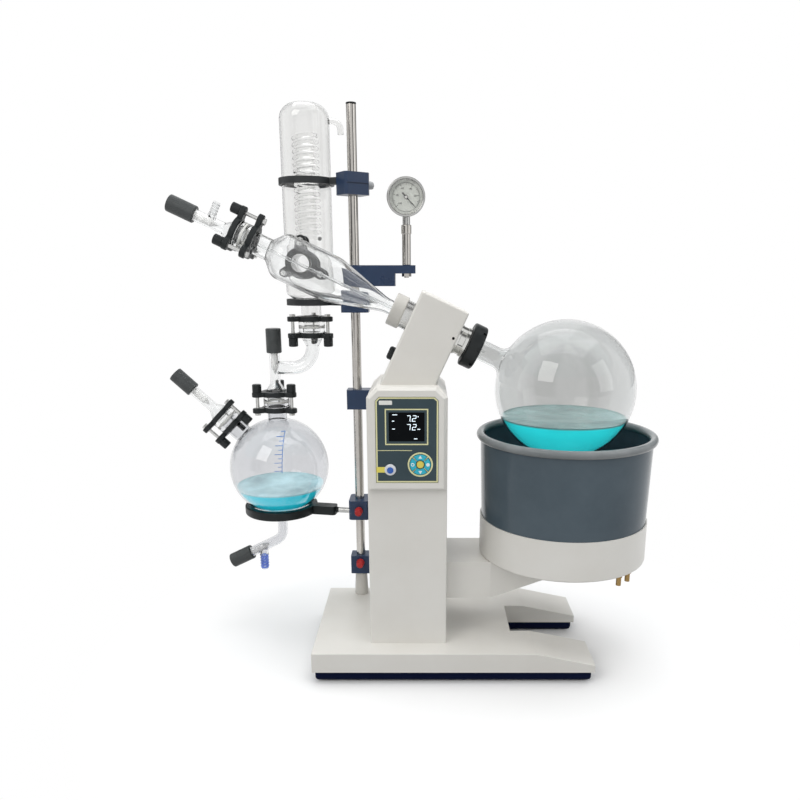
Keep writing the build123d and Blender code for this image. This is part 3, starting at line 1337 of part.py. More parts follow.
def gauge_front(y):
    """Work plane on the gauge's axis, facing the front."""
    return front_plane(GAUGE_X, GAUGE_Z, y).location


def gauge_case():
    well_r = GAUGE_R - GAUGE_BEZEL
    can = turned(
        (0, -GAUGE_DEPTH), (GAUGE_R - 3, -GAUGE_DEPTH, 2), (GAUGE_R - 3, -6), (GAUGE_R, -5), (GAUGE_R, 0, 1.5),
        (well_r, 0, 1), (well_r, -GAUGE_WELL), (GAUGE_PIVOT_R, -GAUGE_WELL),
        (GAUGE_PIVOT_R, -GAUGE_LENS - SLIP), (0, -GAUGE_LENS - SLIP),
    )
    stem = Pos(GAUGE_X, ROD_Y) * bar(POST_R - 1, GAUGE_CAP_TOP, GAUGE_Z - GAUGE_R + GAUGE_BEZEL)
    return gauge_front(GAUGE_FACE) * can + stem


def gauge_lens():
    return gauge_front(GAUGE_FACE) * bar(GAUGE_R - GAUGE_BEZEL - RUNNING, -GAUGE_LENS, 0)


def gauge_needle():
    level = -GAUGE_WELL + (GAUGE_WELL - GAUGE_LENS - NEEDLE_THICKNESS) / 2
    blade = make_face(Polyline((-NEEDLE_TAIL, -1.2), (NEEDLE_TIP, -0.25), (NEEDLE_TIP, 0.25), (-NEEDLE_TAIL, 1.2), close=True))
    outline = blade + Circle(NEEDLE_HUB_R) - Circle(GAUGE_PIVOT_R + RUNNING)
    needle = Pos(0, 0, level) * extrude(outline, NEEDLE_THICKNESS)
    return gauge_front(GAUGE_FACE) * Rot(0, 0, -47) * needle


def cable_glands():
    gland = turned((0, 0), (GLAND_R, 0), (GLAND_R, GLAND_LENGTH, GLAND_DOME), (0, GLAND_LENGTH))
    on_head = on_spindle(Pos(-HEAD_GLAND_DROP, -HEAD_GLAND_Y) * Rot(180, 0, 0) * gland)
    back = Plane(origin=(COLUMN_X, COLUMN_BACK, MAINS_GLAND_Z), x_dir=(-1, 0, 0), z_dir=(0, 1, 0))
    return group([on_head, back.location * gland])


NODES = {
    "base_chassis": base_chassis, "base_cover": base_cover, "column_shell": column_shell,
    "lift_frame": lift_frame, "lift_screw": lift_screw, "lift_motor": lift_motor,
    "lift_carriage": lift_carriage, "bath_arm": bath_arm, "bath_skirt": bath_skirt, "bath_pot": bath_pot,
    "bath_heater": bath_heater, "bath_fittings": bath_fittings, "panel_bezel": panel_bezel,
    "panel_fascia": panel_fascia, "display_window": display_window, "power_button": power_button,
    "head_housing": head_housing, "spindle_bearings": spindle_bearings, "spindle": spindle,
    "drive_gear": drive_gear, "drive_pinion": drive_pinion, "drive_motor": drive_motor,
    "flask_clamp_nut": flask_clamp_nut, "evaporating_flask": evaporating_flask, "duct_socket": duct_socket,
    "vacuum_seal": vacuum_seal, "duct_lock_nut": duct_lock_nut, "vapour_duct": vapour_duct,
    "condenser_jacket": condenser_jacket, "condenser_coil": condenser_coil, "feed_inlet": feed_inlet,
    "feed_valve": feed_valve, "return_elbow": return_elbow, "elbow_valve": elbow_valve,
    "receiving_flask": receiving_flask, "drain_valve": drain_valve, "vent_inlet": vent_inlet,
    "vent_valve": vent_valve, "clamp_plates": clamp_plates, "clamp_bolts": clamp_bolts,
    "clamp_knobs": clamp_knobs, "flange_seals": flange_seals, "support_rod": support_rod,
    "rod_socket": rod_socket, "rod_brackets": rod_brackets, "boss_clamps": boss_clamps,
    "clamp_screws": clamp_screws, "condenser_rings": condenser_rings, "receiver_ring": receiver_ring,
    "gauge_arm": gauge_arm, "gauge_post": gauge_post, "gauge_case": gauge_case, "gauge_lens": gauge_lens,
    "gauge_needle": gauge_needle, "cable_glands": cable_glands,
}

os.makedirs("parts", exist_ok=True)
for name, make in NODES.items():
    export_step(make(), f"parts/{name}.step")
for name, key in keypad_keys().items():
    export_step(key, f"parts/{name}.step")
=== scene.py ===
import bpy
from math import cos, pi, radians, sin
from mathutils import Matrix, Vector


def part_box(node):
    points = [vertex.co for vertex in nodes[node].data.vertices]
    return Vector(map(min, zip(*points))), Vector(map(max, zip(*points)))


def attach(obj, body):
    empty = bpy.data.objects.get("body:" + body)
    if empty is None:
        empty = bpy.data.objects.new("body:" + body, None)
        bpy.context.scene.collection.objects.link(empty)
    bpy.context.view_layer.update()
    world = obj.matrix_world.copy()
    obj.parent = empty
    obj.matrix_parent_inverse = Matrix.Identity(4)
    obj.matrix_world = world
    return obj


# Rotary evaporator: finishes, glass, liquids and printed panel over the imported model.
# The modelling helpers take millimetres. The camera, the room and the floor are in metres.
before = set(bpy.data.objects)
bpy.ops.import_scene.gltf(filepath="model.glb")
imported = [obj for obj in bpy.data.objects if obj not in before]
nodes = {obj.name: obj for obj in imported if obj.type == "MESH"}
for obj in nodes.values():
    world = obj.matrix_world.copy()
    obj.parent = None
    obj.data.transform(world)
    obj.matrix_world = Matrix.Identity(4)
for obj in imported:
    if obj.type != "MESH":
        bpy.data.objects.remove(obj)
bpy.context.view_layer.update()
MM = 0.001
FACING_FRONT = (pi / 2, 0, 0)


# Wiring of nodes


def feed(tree, socket, value):
    """Link another node's output into a socket, or set a plain value on it."""
    if isinstance(value, bpy.types.NodeSocket):
        tree.links.new(value, socket)
    else:
        socket.default_value = value


def wire(tree, kind, operation, values):
    """Add a node that works on sockets and plain values, given in the order of its inputs."""
    node = tree.nodes.new(kind)
    node.operation = operation
    for socket, value in zip(node.inputs, values):
        feed(tree, socket, value)
    return node


def calc(tree, operation, *values, clamp=False):
    node = wire(tree, "ShaderNodeMath", operation, values)
    node.use_clamp = clamp
    return node.outputs[0]


def vector_step(tree, operation, *values):
    return wire(tree, "ShaderNodeVectorMath", operation, values).outputs["Vector"]


def vector_measure(tree, operation, *values):
    return wire(tree, "ShaderNodeVectorMath", operation, values).outputs["Value"]


def ramp(tree, value, low, high, to_low=0.0, to_high=1.0, soft=False):
    """Carry a value from one span over to another, with soft ends where asked."""
    node = tree.nodes.new("ShaderNodeMapRange")
    if soft:
        node.interpolation_type = "SMOOTHSTEP"
    labels = ("Value", "From Min", "From Max", "To Min", "To Max")
    for label, given in zip(labels, (value, low, high, to_low, to_high)):
        feed(tree, node.inputs[label], given)
    return node.outputs["Result"]


def blend(tree, mask, first, second):
    """Colour that goes from the first to the second where the mask rises."""
    node = tree.nodes.new("ShaderNodeMix")
    node.data_type = "RGBA"
    for label, given in zip(("Factor", "A", "B"), (mask, first, second)):
        feed(tree, node.inputs[label], given)
    return node.outputs["Result"]


def blend_shaders(tree, mask, first, second):
    node = tree.nodes.new("ShaderNodeMixShader")
    for socket, given in zip(node.inputs, (mask, first, second)):
        tree.links.new(given, socket)
    return node.outputs[0]


def own_place(tree):
    """Place on the piece itself, which stays with the piece at every pose."""
    return tree.nodes.new("ShaderNodeTexCoord").outputs["Object"]


def split(tree, vector):
    node = tree.nodes.new("ShaderNodeSeparateXYZ")
    tree.links.new(vector, node.inputs[0])
    return node.outputs


def ray(tree, kind):
    return tree.nodes.new("ShaderNodeLightPath").outputs[kind]


def shade(colour, part=1.0):
    """Colour with its alpha, dimmed to a part of itself."""
    return (*[value * part for value in colour], 1)


# Camera, light and floor

CAMERA_PLACE = (-0.046, -1.1403, 0.6357)
CAMERA_DIP = 0.243          # radians below level
WALLS = 4.0                 # white walls round the room
CORNER_LIGHT = 0.16         # of a wall's, in the room that metal mirrors
FALLING_LIGHT = 0.62        # of the white that is seen
FALLING_TINT = (0.97, 0.985, 1.0)
SHADOW_PAPER = (0.42, 0.42, 0.42)
SEEN_PAPER = (0.92, 0.92, 0.92)
FLOOR_SIZE = 14
FLOOR_MIDDLE = (0, 2, -0.0004)
SHADOW_REACH = (0.28, 0.62)  # where the floor starts to turn white, and where it is white


def set_camera():
    data = bpy.data.cameras.new("photo_camera")
    data.sensor_width = 36.0
    data.lens = 32.2
    data.shift_x = -0.0305
    data.shift_y = 0.063
    camera = bpy.data.objects.new("photo_camera", data)
    bpy.context.scene.collection.objects.link(camera)
    camera.location = CAMERA_PLACE
    camera.rotation_euler = (pi / 2 - CAMERA_DIP, 0, 0)
    bpy.context.scene.camera = camera


def soft_box(name, place, target, size, power, tint=(1.0, 1.0, 1.0), mirrored=True):
    lamp = bpy.data.lights.new(name, "AREA")
    lamp.shape = "RECTANGLE"
    lamp.size = size[0]
    lamp.size_y = size[1]
    lamp.energy = power
    lamp.color = tint
    box = bpy.data.objects.new(name, lamp)
    bpy.context.scene.collection.objects.link(box)
    box.location = place
    box.visible_glossy = mirrored
    box.rotation_euler = (Vector(target) - Vector(place)).to_track_quat("-Z", "Y").to_euler()


def seen_rays(tree):
    """1 for camera, mirror and glass rays, which see the white room, 0 for light that falls on things."""
    mirrored = calc(tree, "MAXIMUM", ray(tree, "Is Camera Ray"), ray(tree, "Is Glossy Ray"))
    return calc(tree, "MAXIMUM", mirrored, ray(tree, "Is Transmission Ray"))


def background(tree, colour, strength):
    node = tree.nodes.new("ShaderNodeBackground")
    node.inputs["Color"].default_value = shade(colour)
    feed(tree, node.inputs["Strength"], strength)
    return node.outputs[0]


def mirrored_room(tree):
    """What metal mirrors: white walls ahead and to the sides, dim corners between them."""
    direction = split(tree, tree.nodes.new("ShaderNodeTexCoord").outputs["Generated"])
    bearing = calc(tree, "ARCTAN2", direction["Y"], direction["X"])
    wave = calc(tree, "COSINE", calc(tree, "MULTIPLY", bearing, WALLS))
    return background(tree, (1, 1, 1), ramp(tree, wave, -0.75, 0.25, CORNER_LIGHT, 1.0, soft=True))


def set_room():
    world = bpy.data.worlds.new("white_room")
    bpy.context.scene.world = world
    world.use_nodes = True
    tree = world.node_tree
    tree.nodes.clear()
    falling = background(tree, FALLING_TINT, FALLING_LIGHT)
    plain = blend_shaders(tree, seen_rays(tree), falling, background(tree, (1, 1, 1), 1.0))
    off_metal = calc(
        tree, "SUBTRACT", ray(tree, "Is Glossy Ray"), ray(tree, "Is Transmission Ray"), clamp=True
    )
    room = blend_shaders(tree, off_metal, plain, mirrored_room(tree))
    out = tree.nodes.new("ShaderNodeOutputWorld")
    tree.links.new(room, out.inputs["Surface"])
    soft_box(
        "key_box", place=(-1.5, -1.7, 2.1), target=(0, 0, 0.45), size=(1.3, 1.6), power=20,
        tint=(1.0, 0.985, 0.96),
    )
    soft_box("fill_box", place=(1.9, -1.1, 1.3), target=(0, 0, 0.4), size=(1.0, 1.6), power=6)
    soft_box(
        "top_box", place=(0.15, 0.4, 4.0), target=(0, 0, 0.4), size=(4.4, 3.7), power=116, mirrored=False
    )


def set_floor():
    """Pale paper that keeps the shadow near the machine and turns to the white of the room further out."""
    deselect()
    bpy.ops.mesh.primitive_grid_add(
        x_subdivisions=8, y_subdivisions=8, size=FLOOR_SIZE, location=FLOOR_MIDDLE
    )
    floor = bpy.context.object
    floor.name = "studio_floor"
    bake_place()
    material = bpy.data.materials.new("studio_floor")
    material.use_nodes = True
    tree = material.node_tree
    tree.nodes.clear()
    seen = seen_rays(tree)
    paper = tree.nodes.new("ShaderNodeBsdfDiffuse")
    tree.links.new(blend(tree, seen, shade(SHADOW_PAPER), shade(SEEN_PAPER)), paper.inputs["Color"])
    glow = tree.nodes.new("ShaderNodeEmission")
    glow.inputs["Strength"].default_value = 1.0
    far = ramp(tree, vector_measure(tree, "LENGTH", own_place(tree)), *SHADOW_REACH, soft=True)
    surface = blend_shaders(tree, calc(tree, "MULTIPLY", far, seen), paper.outputs[0], glow.outputs[0])
    out = tree.nodes.new("ShaderNodeOutputMaterial")
    tree.links.new(surface, out.inputs["Surface"])
    floor.data.materials.append(material)


# Modelling by hand


def deselect():
    if bpy.context.object and bpy.context.object.mode != "OBJECT":
        bpy.ops.object.mode_set(mode="OBJECT")
    bpy.ops.object.select_all(action="DESELECT")


def take(piece):
    """Make one piece the only selected and active object."""
    deselect()
    piece.select_set(True)
    bpy.context.view_layer.objects.active = piece


def open_mesh():
    """Enter edit mode with faces to choose and none chosen."""
    bpy.ops.object.mode_set(mode="EDIT")
    bpy.ops.mesh.select_mode(type="FACE")
    bpy.ops.mesh.select_all(action="DESELECT")


def choose(piece, test):
    """Choose the faces whose centre and normal pass a test."""
    bpy.ops.object.mode_set(mode="OBJECT")
    for face in piece.data.polygons:
        face.select = test(face.center, face.normal)
    bpy.ops.object.mode_set(mode="EDIT")


def close_mesh():
    bpy.ops.object.mode_set(mode="OBJECT")


def bake_place():
    """Put the active piece's place, turn and scale into its mesh."""
    bpy.ops.object.transform_apply(location=True, rotation=True, scale=True)


def settle(piece, name, body, material):
    """Put the finished piece's place into its mesh, name it, paint it and let it ride on a body."""
    take(piece)
    bake_place()
    piece.name = name
    piece.data.name = name
    piece.data.materials.clear()
    piece.data.materials.append(material)
    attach(piece, body)
    return piece


def thicken(piece, depth):
    """Give a flat sheet that faces the front a thickness towards the back."""
    take(piece)
    wall = piece.modifiers.new("thickness", "SOLIDIFY")
    wall.thickness = depth * MM
    wall.offset = -1
    bpy.ops.object.modifier_apply(modifier=wall.name)


def join(pieces):
    deselect()
    for piece in pieces:
        piece.select_set(True)
    bpy.context.view_layer.objects.active = pieces[0]
    bpy.ops.object.join()
    return bpy.context.object


def middle(node):
    """Middle of a node's box across, its front, and its middle upwards."""
    low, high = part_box(node)
    return (low[0] + high[0]) / 2 / MM, low[1] / MM, (low[2] + high[2]) / 2 / MM


def front_sheet(x, y, z, width, height):
    """Flat sheet that faces the front, its place already in its mesh."""
    deselect()
    bpy.ops.mesh.primitive_plane_add(size=1, location=(x * MM, y * MM, z * MM), rotation=FACING_FRONT)
    sheet = bpy.context.object
    sheet.scale = (width * MM, height * MM, 1)
    bake_place()
    return sheet


def front_disc(x, y, z, radius, sides=64):
    deselect()
    bpy.ops.mesh.primitive_circle_add(
        vertices=sides, radius=radius * MM, fill_type="NGON", location=(x * MM, y * MM, z * MM),
        rotation=FACING_FRONT,
    )
    bake_place()
    return bpy.context.object


def turn_about(piece, x, z, angle):
    """Turn a flat piece about the line that runs to the front through a point."""
    centre = Matrix.Translation((x * MM, 0, z * MM))
    take(piece)
    piece.matrix_world = centre @ Matrix.Rotation(-angle, 4, "Y") @ centre.inverted() @ piece.matrix_world
    bake_place()


def every_corner(place):
    return True


def round_corners(piece, radius, segments, which=every_corner):
    """Round the corners of a front sheet that pass a test on their place."""
    take(piece)
    open_mesh()
    bpy.ops.mesh.select_mode(type="VERT")
    close_mesh()
    for vertex in piece.data.vertices:
        vertex.select = which(vertex.co)
    bpy.ops.object.mode_set(mode="EDIT")
    bpy.ops.mesh.bevel(offset=radius * MM, segments=segments, affect="VERTICES")
    close_mesh()


def inset_face(piece, width, depth=0.0):
    """Draw a line inside the edge of a flat piece, and raise or sink the face within it."""
    take(piece)
    open_mesh()
    bpy.ops.mesh.select_all(action="SELECT")
    bpy.ops.mesh.inset(thickness=width * MM, depth=depth * MM)
    close_mesh()


def outline_only(piece, line):
    """Keep only a line of this width along the edge of a front sheet."""
    inset_face(piece, line)
    bpy.ops.object.mode_set(mode="EDIT")
    bpy.ops.mesh.delete(type="FACE")
    close_mesh()


def rounded_patch(x, y, z, size, corner, segments, depth):
    """Thin patch with rounded corners that faces the front."""
    patch = front_sheet(x, y, z, *size)
    round_corners(patch, corner, segments)
    thicken(patch, depth)
    return patch


def figures(text, x, y, z, size):
    """Figures that face the front, as a mesh, centred on a point."""
    deselect()
    bpy.ops.object.text_add(location=(x * MM, y * MM, z * MM), rotation=FACING_FRONT)
    words = bpy.context.object
    words.data.body = text
    words.data.size = size * MM
    words.data.align_x = "CENTER"
    words.data.align_y = "CENTER"
    words.data.extrude = FIGURE_DEPTH * MM
    words.data.resolution_u = 4
    bpy.ops.object.convert(target="MESH")
    take(bpy.context.object)
    bake_place()
    return bpy.context.object


# Shared effects, each a node group


def new_group(name, inputs, outputs):
    group = bpy.data.node_groups.new(name, "ShaderNodeTree")
    for label, kind, value in inputs:
        socket = group.interface.new_socket(label, in_out="INPUT", socket_type=kind)
        socket.default_value = value
    for label, kind in outputs:
        group.interface.new_socket(label, in_out="OUTPUT", socket_type=kind)
    given = group.nodes.new("NodeGroupInput")
    out = group.nodes.new("NodeGroupOutput")
    return group, given.outputs, out.inputs


def noise(tree, place, scale, detail, roughness=0.5):
    node = tree.nodes.new("ShaderNodeTexNoise")
    labels = ("Vector", "Scale", "Detail", "Roughness")
    for label, value in zip(labels, (place, scale, detail, roughness)):
        feed(tree, node.inputs[label], value)
    return node.outputs["Fac"]


def make_peel():
    """Fine skin of sprayed paint or moulded plastic, as a height."""
    group, given, out = new_group(
        "peel",
        [("Scale", "NodeSocketFloat", 900.0), ("Detail", "NodeSocketFloat", 2.0)],
        [("Height", "NodeSocketFloat")],
    )
    group.links.new(noise(group, own_place(group), given["Scale"], given["Detail"]), out["Height"])
    return group


def make_handling():
    """Slow drift of colour and gloss from handling and cleaning."""
    group, given, out = new_group(
        "handling",
        [
            ("Clean", "NodeSocketColor", (0.8, 0.8, 0.8, 1)),
            ("Soiled", "NodeSocketColor", (0.7, 0.7, 0.7, 1)),
            ("Scale", "NodeSocketFloat", 9.0),
            ("Smooth", "NodeSocketFloat", 0.3),
            ("Rough", "NodeSocketFloat", 0.45),
        ],
        [("Color", "NodeSocketColor"), ("Roughness", "NodeSocketFloat")],
    )
    drift = noise(group, own_place(group), given["Scale"], detail=5.0, roughness=0.62)
    wear = ramp(group, drift, 0.35, 0.7)
    group.links.new(blend(group, wear, given["Clean"], given["Soiled"]), out["Color"])
    gloss = ramp(group, wear, 0.0, 1.0, given["Smooth"], given["Rough"])
    group.links.new(gloss, out["Roughness"])
    return group


def make_turning():
    """Fine turning or brushing lines along one direction, as gloss and height."""
    group, given, out = new_group(
        "turning",
        [
            ("Stretch", "NodeSocketVector", (900.0, 900.0, 30.0)),
            ("Smooth", "NodeSocketFloat", 0.18),
            ("Rough", "NodeSocketFloat", 0.36),
        ],
        [("Roughness", "NodeSocketFloat"), ("Height", "NodeSocketFloat")],
    )
    drawn = vector_step(group, "MULTIPLY", own_place(group), given["Stretch"])
    lines = noise(group, drawn, scale=1.0, detail=3.0)
    group.links.new(ramp(group, lines, 0.3, 0.7, given["Smooth"], given["Rough"]), out["Roughness"])
    group.links.new(lines, out["Height"])
    return group


PEEL = make_peel()
HANDLING = make_handling()
TURNING = make_turning()


# Finishes

SKIN_HEIGHT = 0.0003
TOOL_MARK_HEIGHT = 0.0002
RIPPLE_HEIGHT = 0.004
GLASS_IOR = 1.47
WATER_IOR = 1.33
GLASS_SHADOW = 0.08         # how much of a full shadow glass throws


def new_finish(name):
    material = bpy.data.materials.new(name)
    material.use_nodes = True
    tree = material.node_tree
    return material, tree, tree.nodes["Principled BSDF"]


def place_group(tree, group, **values):
    node = tree.nodes.new("ShaderNodeGroup")
    node.node_tree = group
    for label, value in values.items():
        node.inputs[label].default_value = value
    return node.outputs


def add_bump(tree, shader, height, strength, distance):
    bump = tree.nodes.new("ShaderNodeBump")
    bump.inputs["Strength"].default_value = strength
    bump.inputs["Distance"].default_value = distance
    tree.links.new(height, bump.inputs["Height"])
    tree.links.new(bump.outputs["Normal"], shader.inputs["Normal"])


def coated(name, clean, soiled, smooth, rough, skin=700.0, bump=0.12, drift=9.0, sheen=0.5):
    """Sprayed paint or moulded plastic: drifting tone and gloss over a fine skin."""
    material, tree, shader = new_finish(name)
    shader.inputs["Specular IOR Level"].default_value = sheen
    wear = place_group(
        tree, HANDLING, Clean=shade(clean), Soiled=shade(soiled), Scale=drift, Smooth=smooth, Rough=rough
    )
    tree.links.new(wear["Color"], shader.inputs["Base Color"])
    tree.links.new(wear["Roughness"], shader.inputs["Roughness"])
    add_bump(tree, shader, place_group(tree, PEEL, Scale=skin)["Height"], bump, SKIN_HEIGHT)
    return material


def rim_paler_with_painted_light(material, level, clean, soiled):
    """Make a finish paler above a level: a rolled rim in its own paler grey, with painted light added where
    its top faces the lamps.
    """
    tree = material.node_tree
    colour = tree.nodes["Principled BSDF"].inputs["Base Color"]
    wall = colour.links[0].from_socket
    above = calc(tree, "GREATER_THAN", split(tree, own_place(tree))["Z"], level * MM)
    rim = place_group(tree, HANDLING, Clean=shade(clean), Soiled=shade(soiled), Scale=20.0)
    tree.links.new(blend(tree, above, wall, rim["Color"]), colour)


def worked_metal(name, colour, shaded, stretch, smooth, rough, bump=0.05):
    """Bare metal with fine lines from turning, drawing or brushing."""
    material, tree, shader = new_finish(name)
    shader.inputs["Metallic"].default_value = 1.0
    tone = place_group(tree, HANDLING, Clean=shade(colour), Soiled=shade(shaded), Scale=24.0)
    tree.links.new(tone["Color"], shader.inputs["Base Color"])
    lines = place_group(tree, TURNING, Stretch=stretch, Smooth=smooth, Rough=rough)
    tree.links.new(lines["Roughness"], shader.inputs["Roughness"])
    add_bump(tree, shader, lines["Height"], bump, TOOL_MARK_HEIGHT)
    return material


def glass_with_painted_shade(name, tint, soiled, edge, smooth=0.0, rough=0.03, start=0.5, full=1.0):
    """Clear laboratory glass: faint wiping marks in its gloss. Its grey tint and another tone where the wall
    is seen along are painted shade, standing in for the dark seen in and through the glass.
    """
    material, tree, shader = new_finish(name)
    shader.inputs["Transmission Weight"].default_value = 1.0
    shader.inputs["IOR"].default_value = GLASS_IOR
    marks = place_group(
        tree, HANDLING, Clean=shade(tint), Soiled=shade(soiled), Scale=14.0, Smooth=smooth, Rough=rough
    )
    tree.links.new(marks["Roughness"], shader.inputs["Roughness"])
    # Painted shade: another tone where the wall is seen along
    along = tree.nodes.new("ShaderNodeLayerWeight")
    along.inputs["Blend"].default_value = 0.5
    wall = ramp(tree, along.outputs["Facing"], start, full, soft=True)
    tree.links.new(blend(tree, wall, marks["Color"], shade(edge)), shader.inputs["Base Color"])
    stopped = ramp(tree, ray(tree, "Is Shadow Ray"), 0.0, 1.0, 1.0, GLASS_SHADOW)
    tree.links.new(stopped, shader.inputs["Alpha"])
    return material


def dyed_water_painted_glow(name, body, deep, surface, level, through, glow):
    """Coloured liquid with a faint painted glow in its own colour, though it is no lamp, with drifts below a
    rippled top painted another tone, as painted light and shade on the surface.
    """
    material, tree, shader = new_finish(name)
    shader.inputs["Transmission Weight"].default_value = through
    shader.inputs["IOR"].default_value = WATER_IOR
    swirl = place_group(
        tree, HANDLING, Clean=shade(body), Soiled=shade(deep), Scale=7.0, Smooth=0.02, Rough=0.08
    )
    tree.links.new(swirl["Roughness"], shader.inputs["Roughness"])
    # Painted light and shade: the top of the liquid takes another tone
    skin = place_group(tree, HANDLING, Clean=shade(surface), Soiled=shade(surface, 0.5), Scale=16.0)
    top = ramp(tree, split(tree, own_place(tree))["Z"], (level - 4.0) * MM, (level - 1.3) * MM)
    tone = blend(tree, top, swirl["Color"], skin["Color"])
    tree.links.new(tone, shader.inputs["Base Color"])
    # Painted glow: the liquid's colour as emission, though it is no lamp
    tree.links.new(tone, shader.inputs["Emission Color"])
    shader.inputs["Emission Strength"].default_value = glow
    add_bump(tree, shader, place_group(tree, PEEL, Scale=48.0)["Height"], 0.3, RIPPLE_HEIGHT)
    return material


def two_tone(name, before, past, foot, axis, metal=False):
    """One colour before a foot along an axis, another past it, which may be bare metal."""
    material, tree, shader = new_finish(name)
    shader.inputs["Specular IOR Level"].default_value = 0.3
    offset = vector_step(tree, "SUBTRACT", own_place(tree), [value * MM for value in foot])
    mask = calc(tree, "GREATER_THAN", vector_measure(tree, "DOT_PRODUCT", offset, axis), -0.2 * MM)
    first = place_group(
        tree, HANDLING, Clean=shade(before), Soiled=shade(before, 0.8), Scale=60.0, Smooth=0.3, Rough=0.5
    )
    second = place_group(tree, HANDLING, Clean=shade(past), Soiled=shade(past, 0.8), Scale=60.0)
    tree.links.new(blend(tree, mask, first["Color"], second["Color"]), shader.inputs["Base Color"])
    tree.links.new(first["Roughness"], shader.inputs["Roughness"])
    if metal:
        tree.links.new(mask, shader.inputs["Metallic"])
    add_bump(tree, shader, place_group(tree, PEEL, Scale=1400.0)["Height"], 0.2, SKIN_HEIGHT)
    return material


def lit_print(name, colour, strength):
    material, tree, shader = new_finish(name)
    glow = place_group(tree, HANDLING, Clean=shade(colour), Soiled=shade(colour, 0.9), Scale=300.0)
    tree.links.new(glow["Color"], shader.inputs["Base Color"])
    tree.links.new(glow["Color"], shader.inputs["Emission Color"])
    shader.inputs["Emission Strength"].default_value = strength
    shader.inputs["Roughness"].default_value = 0.4
    return material


# Paint, plastic and print

CREAM = coated(
    "cream_paint", clean=(0.755, 0.74, 0.70), soiled=(0.72, 0.70, 0.655), smooth=0.32, rough=0.46,
    skin=650.0, bump=0.16,
)
NAVY = coated(
    "navy_paint", clean=(0.014, 0.034, 0.085), soiled=(0.02, 0.042, 0.095), smooth=0.26, rough=0.42,
    skin=800.0, bump=0.12, drift=30.0, sheen=0.35,
)
TRAY = coated(
    "tray_paint", clean=(0.002, 0.005, 0.028), soiled=(0.004, 0.008, 0.034), smooth=0.45, rough=0.6,
    skin=700.0, bump=0.12, drift=14.0, sheen=0.05,
)
POT = coated(
    "pot_coating", clean=(0.084, 0.114, 0.138), soiled=(0.06, 0.084, 0.104), smooth=0.1, rough=0.2,
    skin=420.0, bump=0.06, drift=7.0, sheen=0.24,
)
# The pot's rim: its own paler grey, with painted light on its top
rim_paler_with_painted_light(POT, level=373.2, clean=(0.23, 0.245, 0.25), soiled=(0.17, 0.185, 0.19))
DARK = coated(
    "dark_plastic", clean=(0.035, 0.038, 0.04), soiled=(0.026, 0.029, 0.031), smooth=0.4, rough=0.6,
    skin=1600.0, bump=0.25, drift=50.0, sheen=0.3,
)
BLACK = coated(
    "black_plastic", clean=(0.01, 0.013, 0.014), soiled=(0.017, 0.02, 0.021), smooth=0.3, rough=0.5,
    skin=1500.0, bump=0.2, drift=50.0, sheen=0.3,
)
BEIGE = coated(
    "beige_plastic", clean=(0.6, 0.585, 0.55), soiled=(0.54, 0.525, 0.49), smooth=0.34, rough=0.5,
    skin=1400.0, bump=0.18, drift=40.0,
)
# The lower clamp screws are red, the upper ones grey
SCREWS = two_tone(
    "clamp_screw_plastic", before=(0.5, 0.03, 0.03), past=(0.5, 0.51, 0.52), foot=(0, 0, 500),
    axis=(0, 0, 1),
)
# Rubber under the flask, bare steel along the stem
RING = two_tone(
    "ring_rubber", before=(0.004, 0.008, 0.009), past=(0.55, 0.55, 0.54), foot=(-203, 0, 0),
    axis=(1, 0, 0), metal=True,
)
FASCIA = coated(
    "fascia_film", clean=(0.036, 0.062, 0.075), soiled=(0.03, 0.052, 0.063), smooth=0.35, rough=0.45,
    skin=2200.0, bump=0.06, drift=20.0, sheen=0.3,
)
SCREEN = coated(
    "screen", clean=(0.003, 0.004, 0.005), soiled=(0.005, 0.006, 0.007), smooth=0.08, rough=0.14,
    skin=900.0, bump=0.01, drift=20.0, sheen=0.03,
)
KEYS = coated(
    "key_film", clean=(0.03, 0.48, 0.62), soiled=(0.025, 0.43, 0.57), smooth=0.38, rough=0.48,
    skin=1800.0, bump=0.08, drift=60.0,
)
CENTRE_KEY = coated(
    "centre_key_film", clean=(0.78, 0.66, 0.12), soiled=(0.72, 0.6, 0.1), smooth=0.38, rough=0.48,
    skin=1800.0, bump=0.08, drift=60.0,
)
WHITE_CAP = coated(
    "white_cap", clean=(0.76, 0.78, 0.8), soiled=(0.7, 0.72, 0.75), smooth=0.2, rough=0.32, skin=1500.0,
    bump=0.05, drift=60.0,
)
BLUE_CAP = coated(
    "blue_cap", clean=(0.02, 0.12, 0.5), soiled=(0.015, 0.09, 0.42), smooth=0.15, rough=0.28, skin=1500.0,
    bump=0.05, drift=60.0,
)
YELLOW_LINE = coated(
    "yellow_print", clean=(0.78, 0.76, 0.42), soiled=(0.72, 0.7, 0.38), smooth=0.45, rough=0.55,
    skin=2200.0, bump=0.05, drift=60.0,
)
PALE_TAB = coated(
    "pale_tab", clean=(0.82, 0.82, 0.78), soiled=(0.77, 0.77, 0.73), smooth=0.4, rough=0.5, skin=2200.0,
    bump=0.05, drift=60.0,
)
STRIP = coated(
    "strip_print", clean=(0.80, 0.70, 0.13), soiled=(0.74, 0.64, 0.11), smooth=0.4, rough=0.5,
    skin=2200.0, bump=0.05, drift=60.0,
)
KEY_MARK = coated(
    "key_mark_print", clean=(0.85, 0.9, 0.9), soiled=(0.8, 0.85, 0.86), smooth=0.4, rough=0.5,
    skin=2200.0, bump=0.05, drift=60.0,
)
SEAL = coated(
    "seal_rubber", clean=(0.72, 0.72, 0.69), soiled=(0.66, 0.66, 0.62), smooth=0.45, rough=0.6,
    skin=1400.0, bump=0.15, drift=60.0,
)
DIAL = coated(
    "dial_enamel", clean=(0.6, 0.62, 0.58), soiled=(0.55, 0.57, 0.53), smooth=0.35, rough=0.45,
    skin=1500.0, bump=0.04, drift=40.0,
)
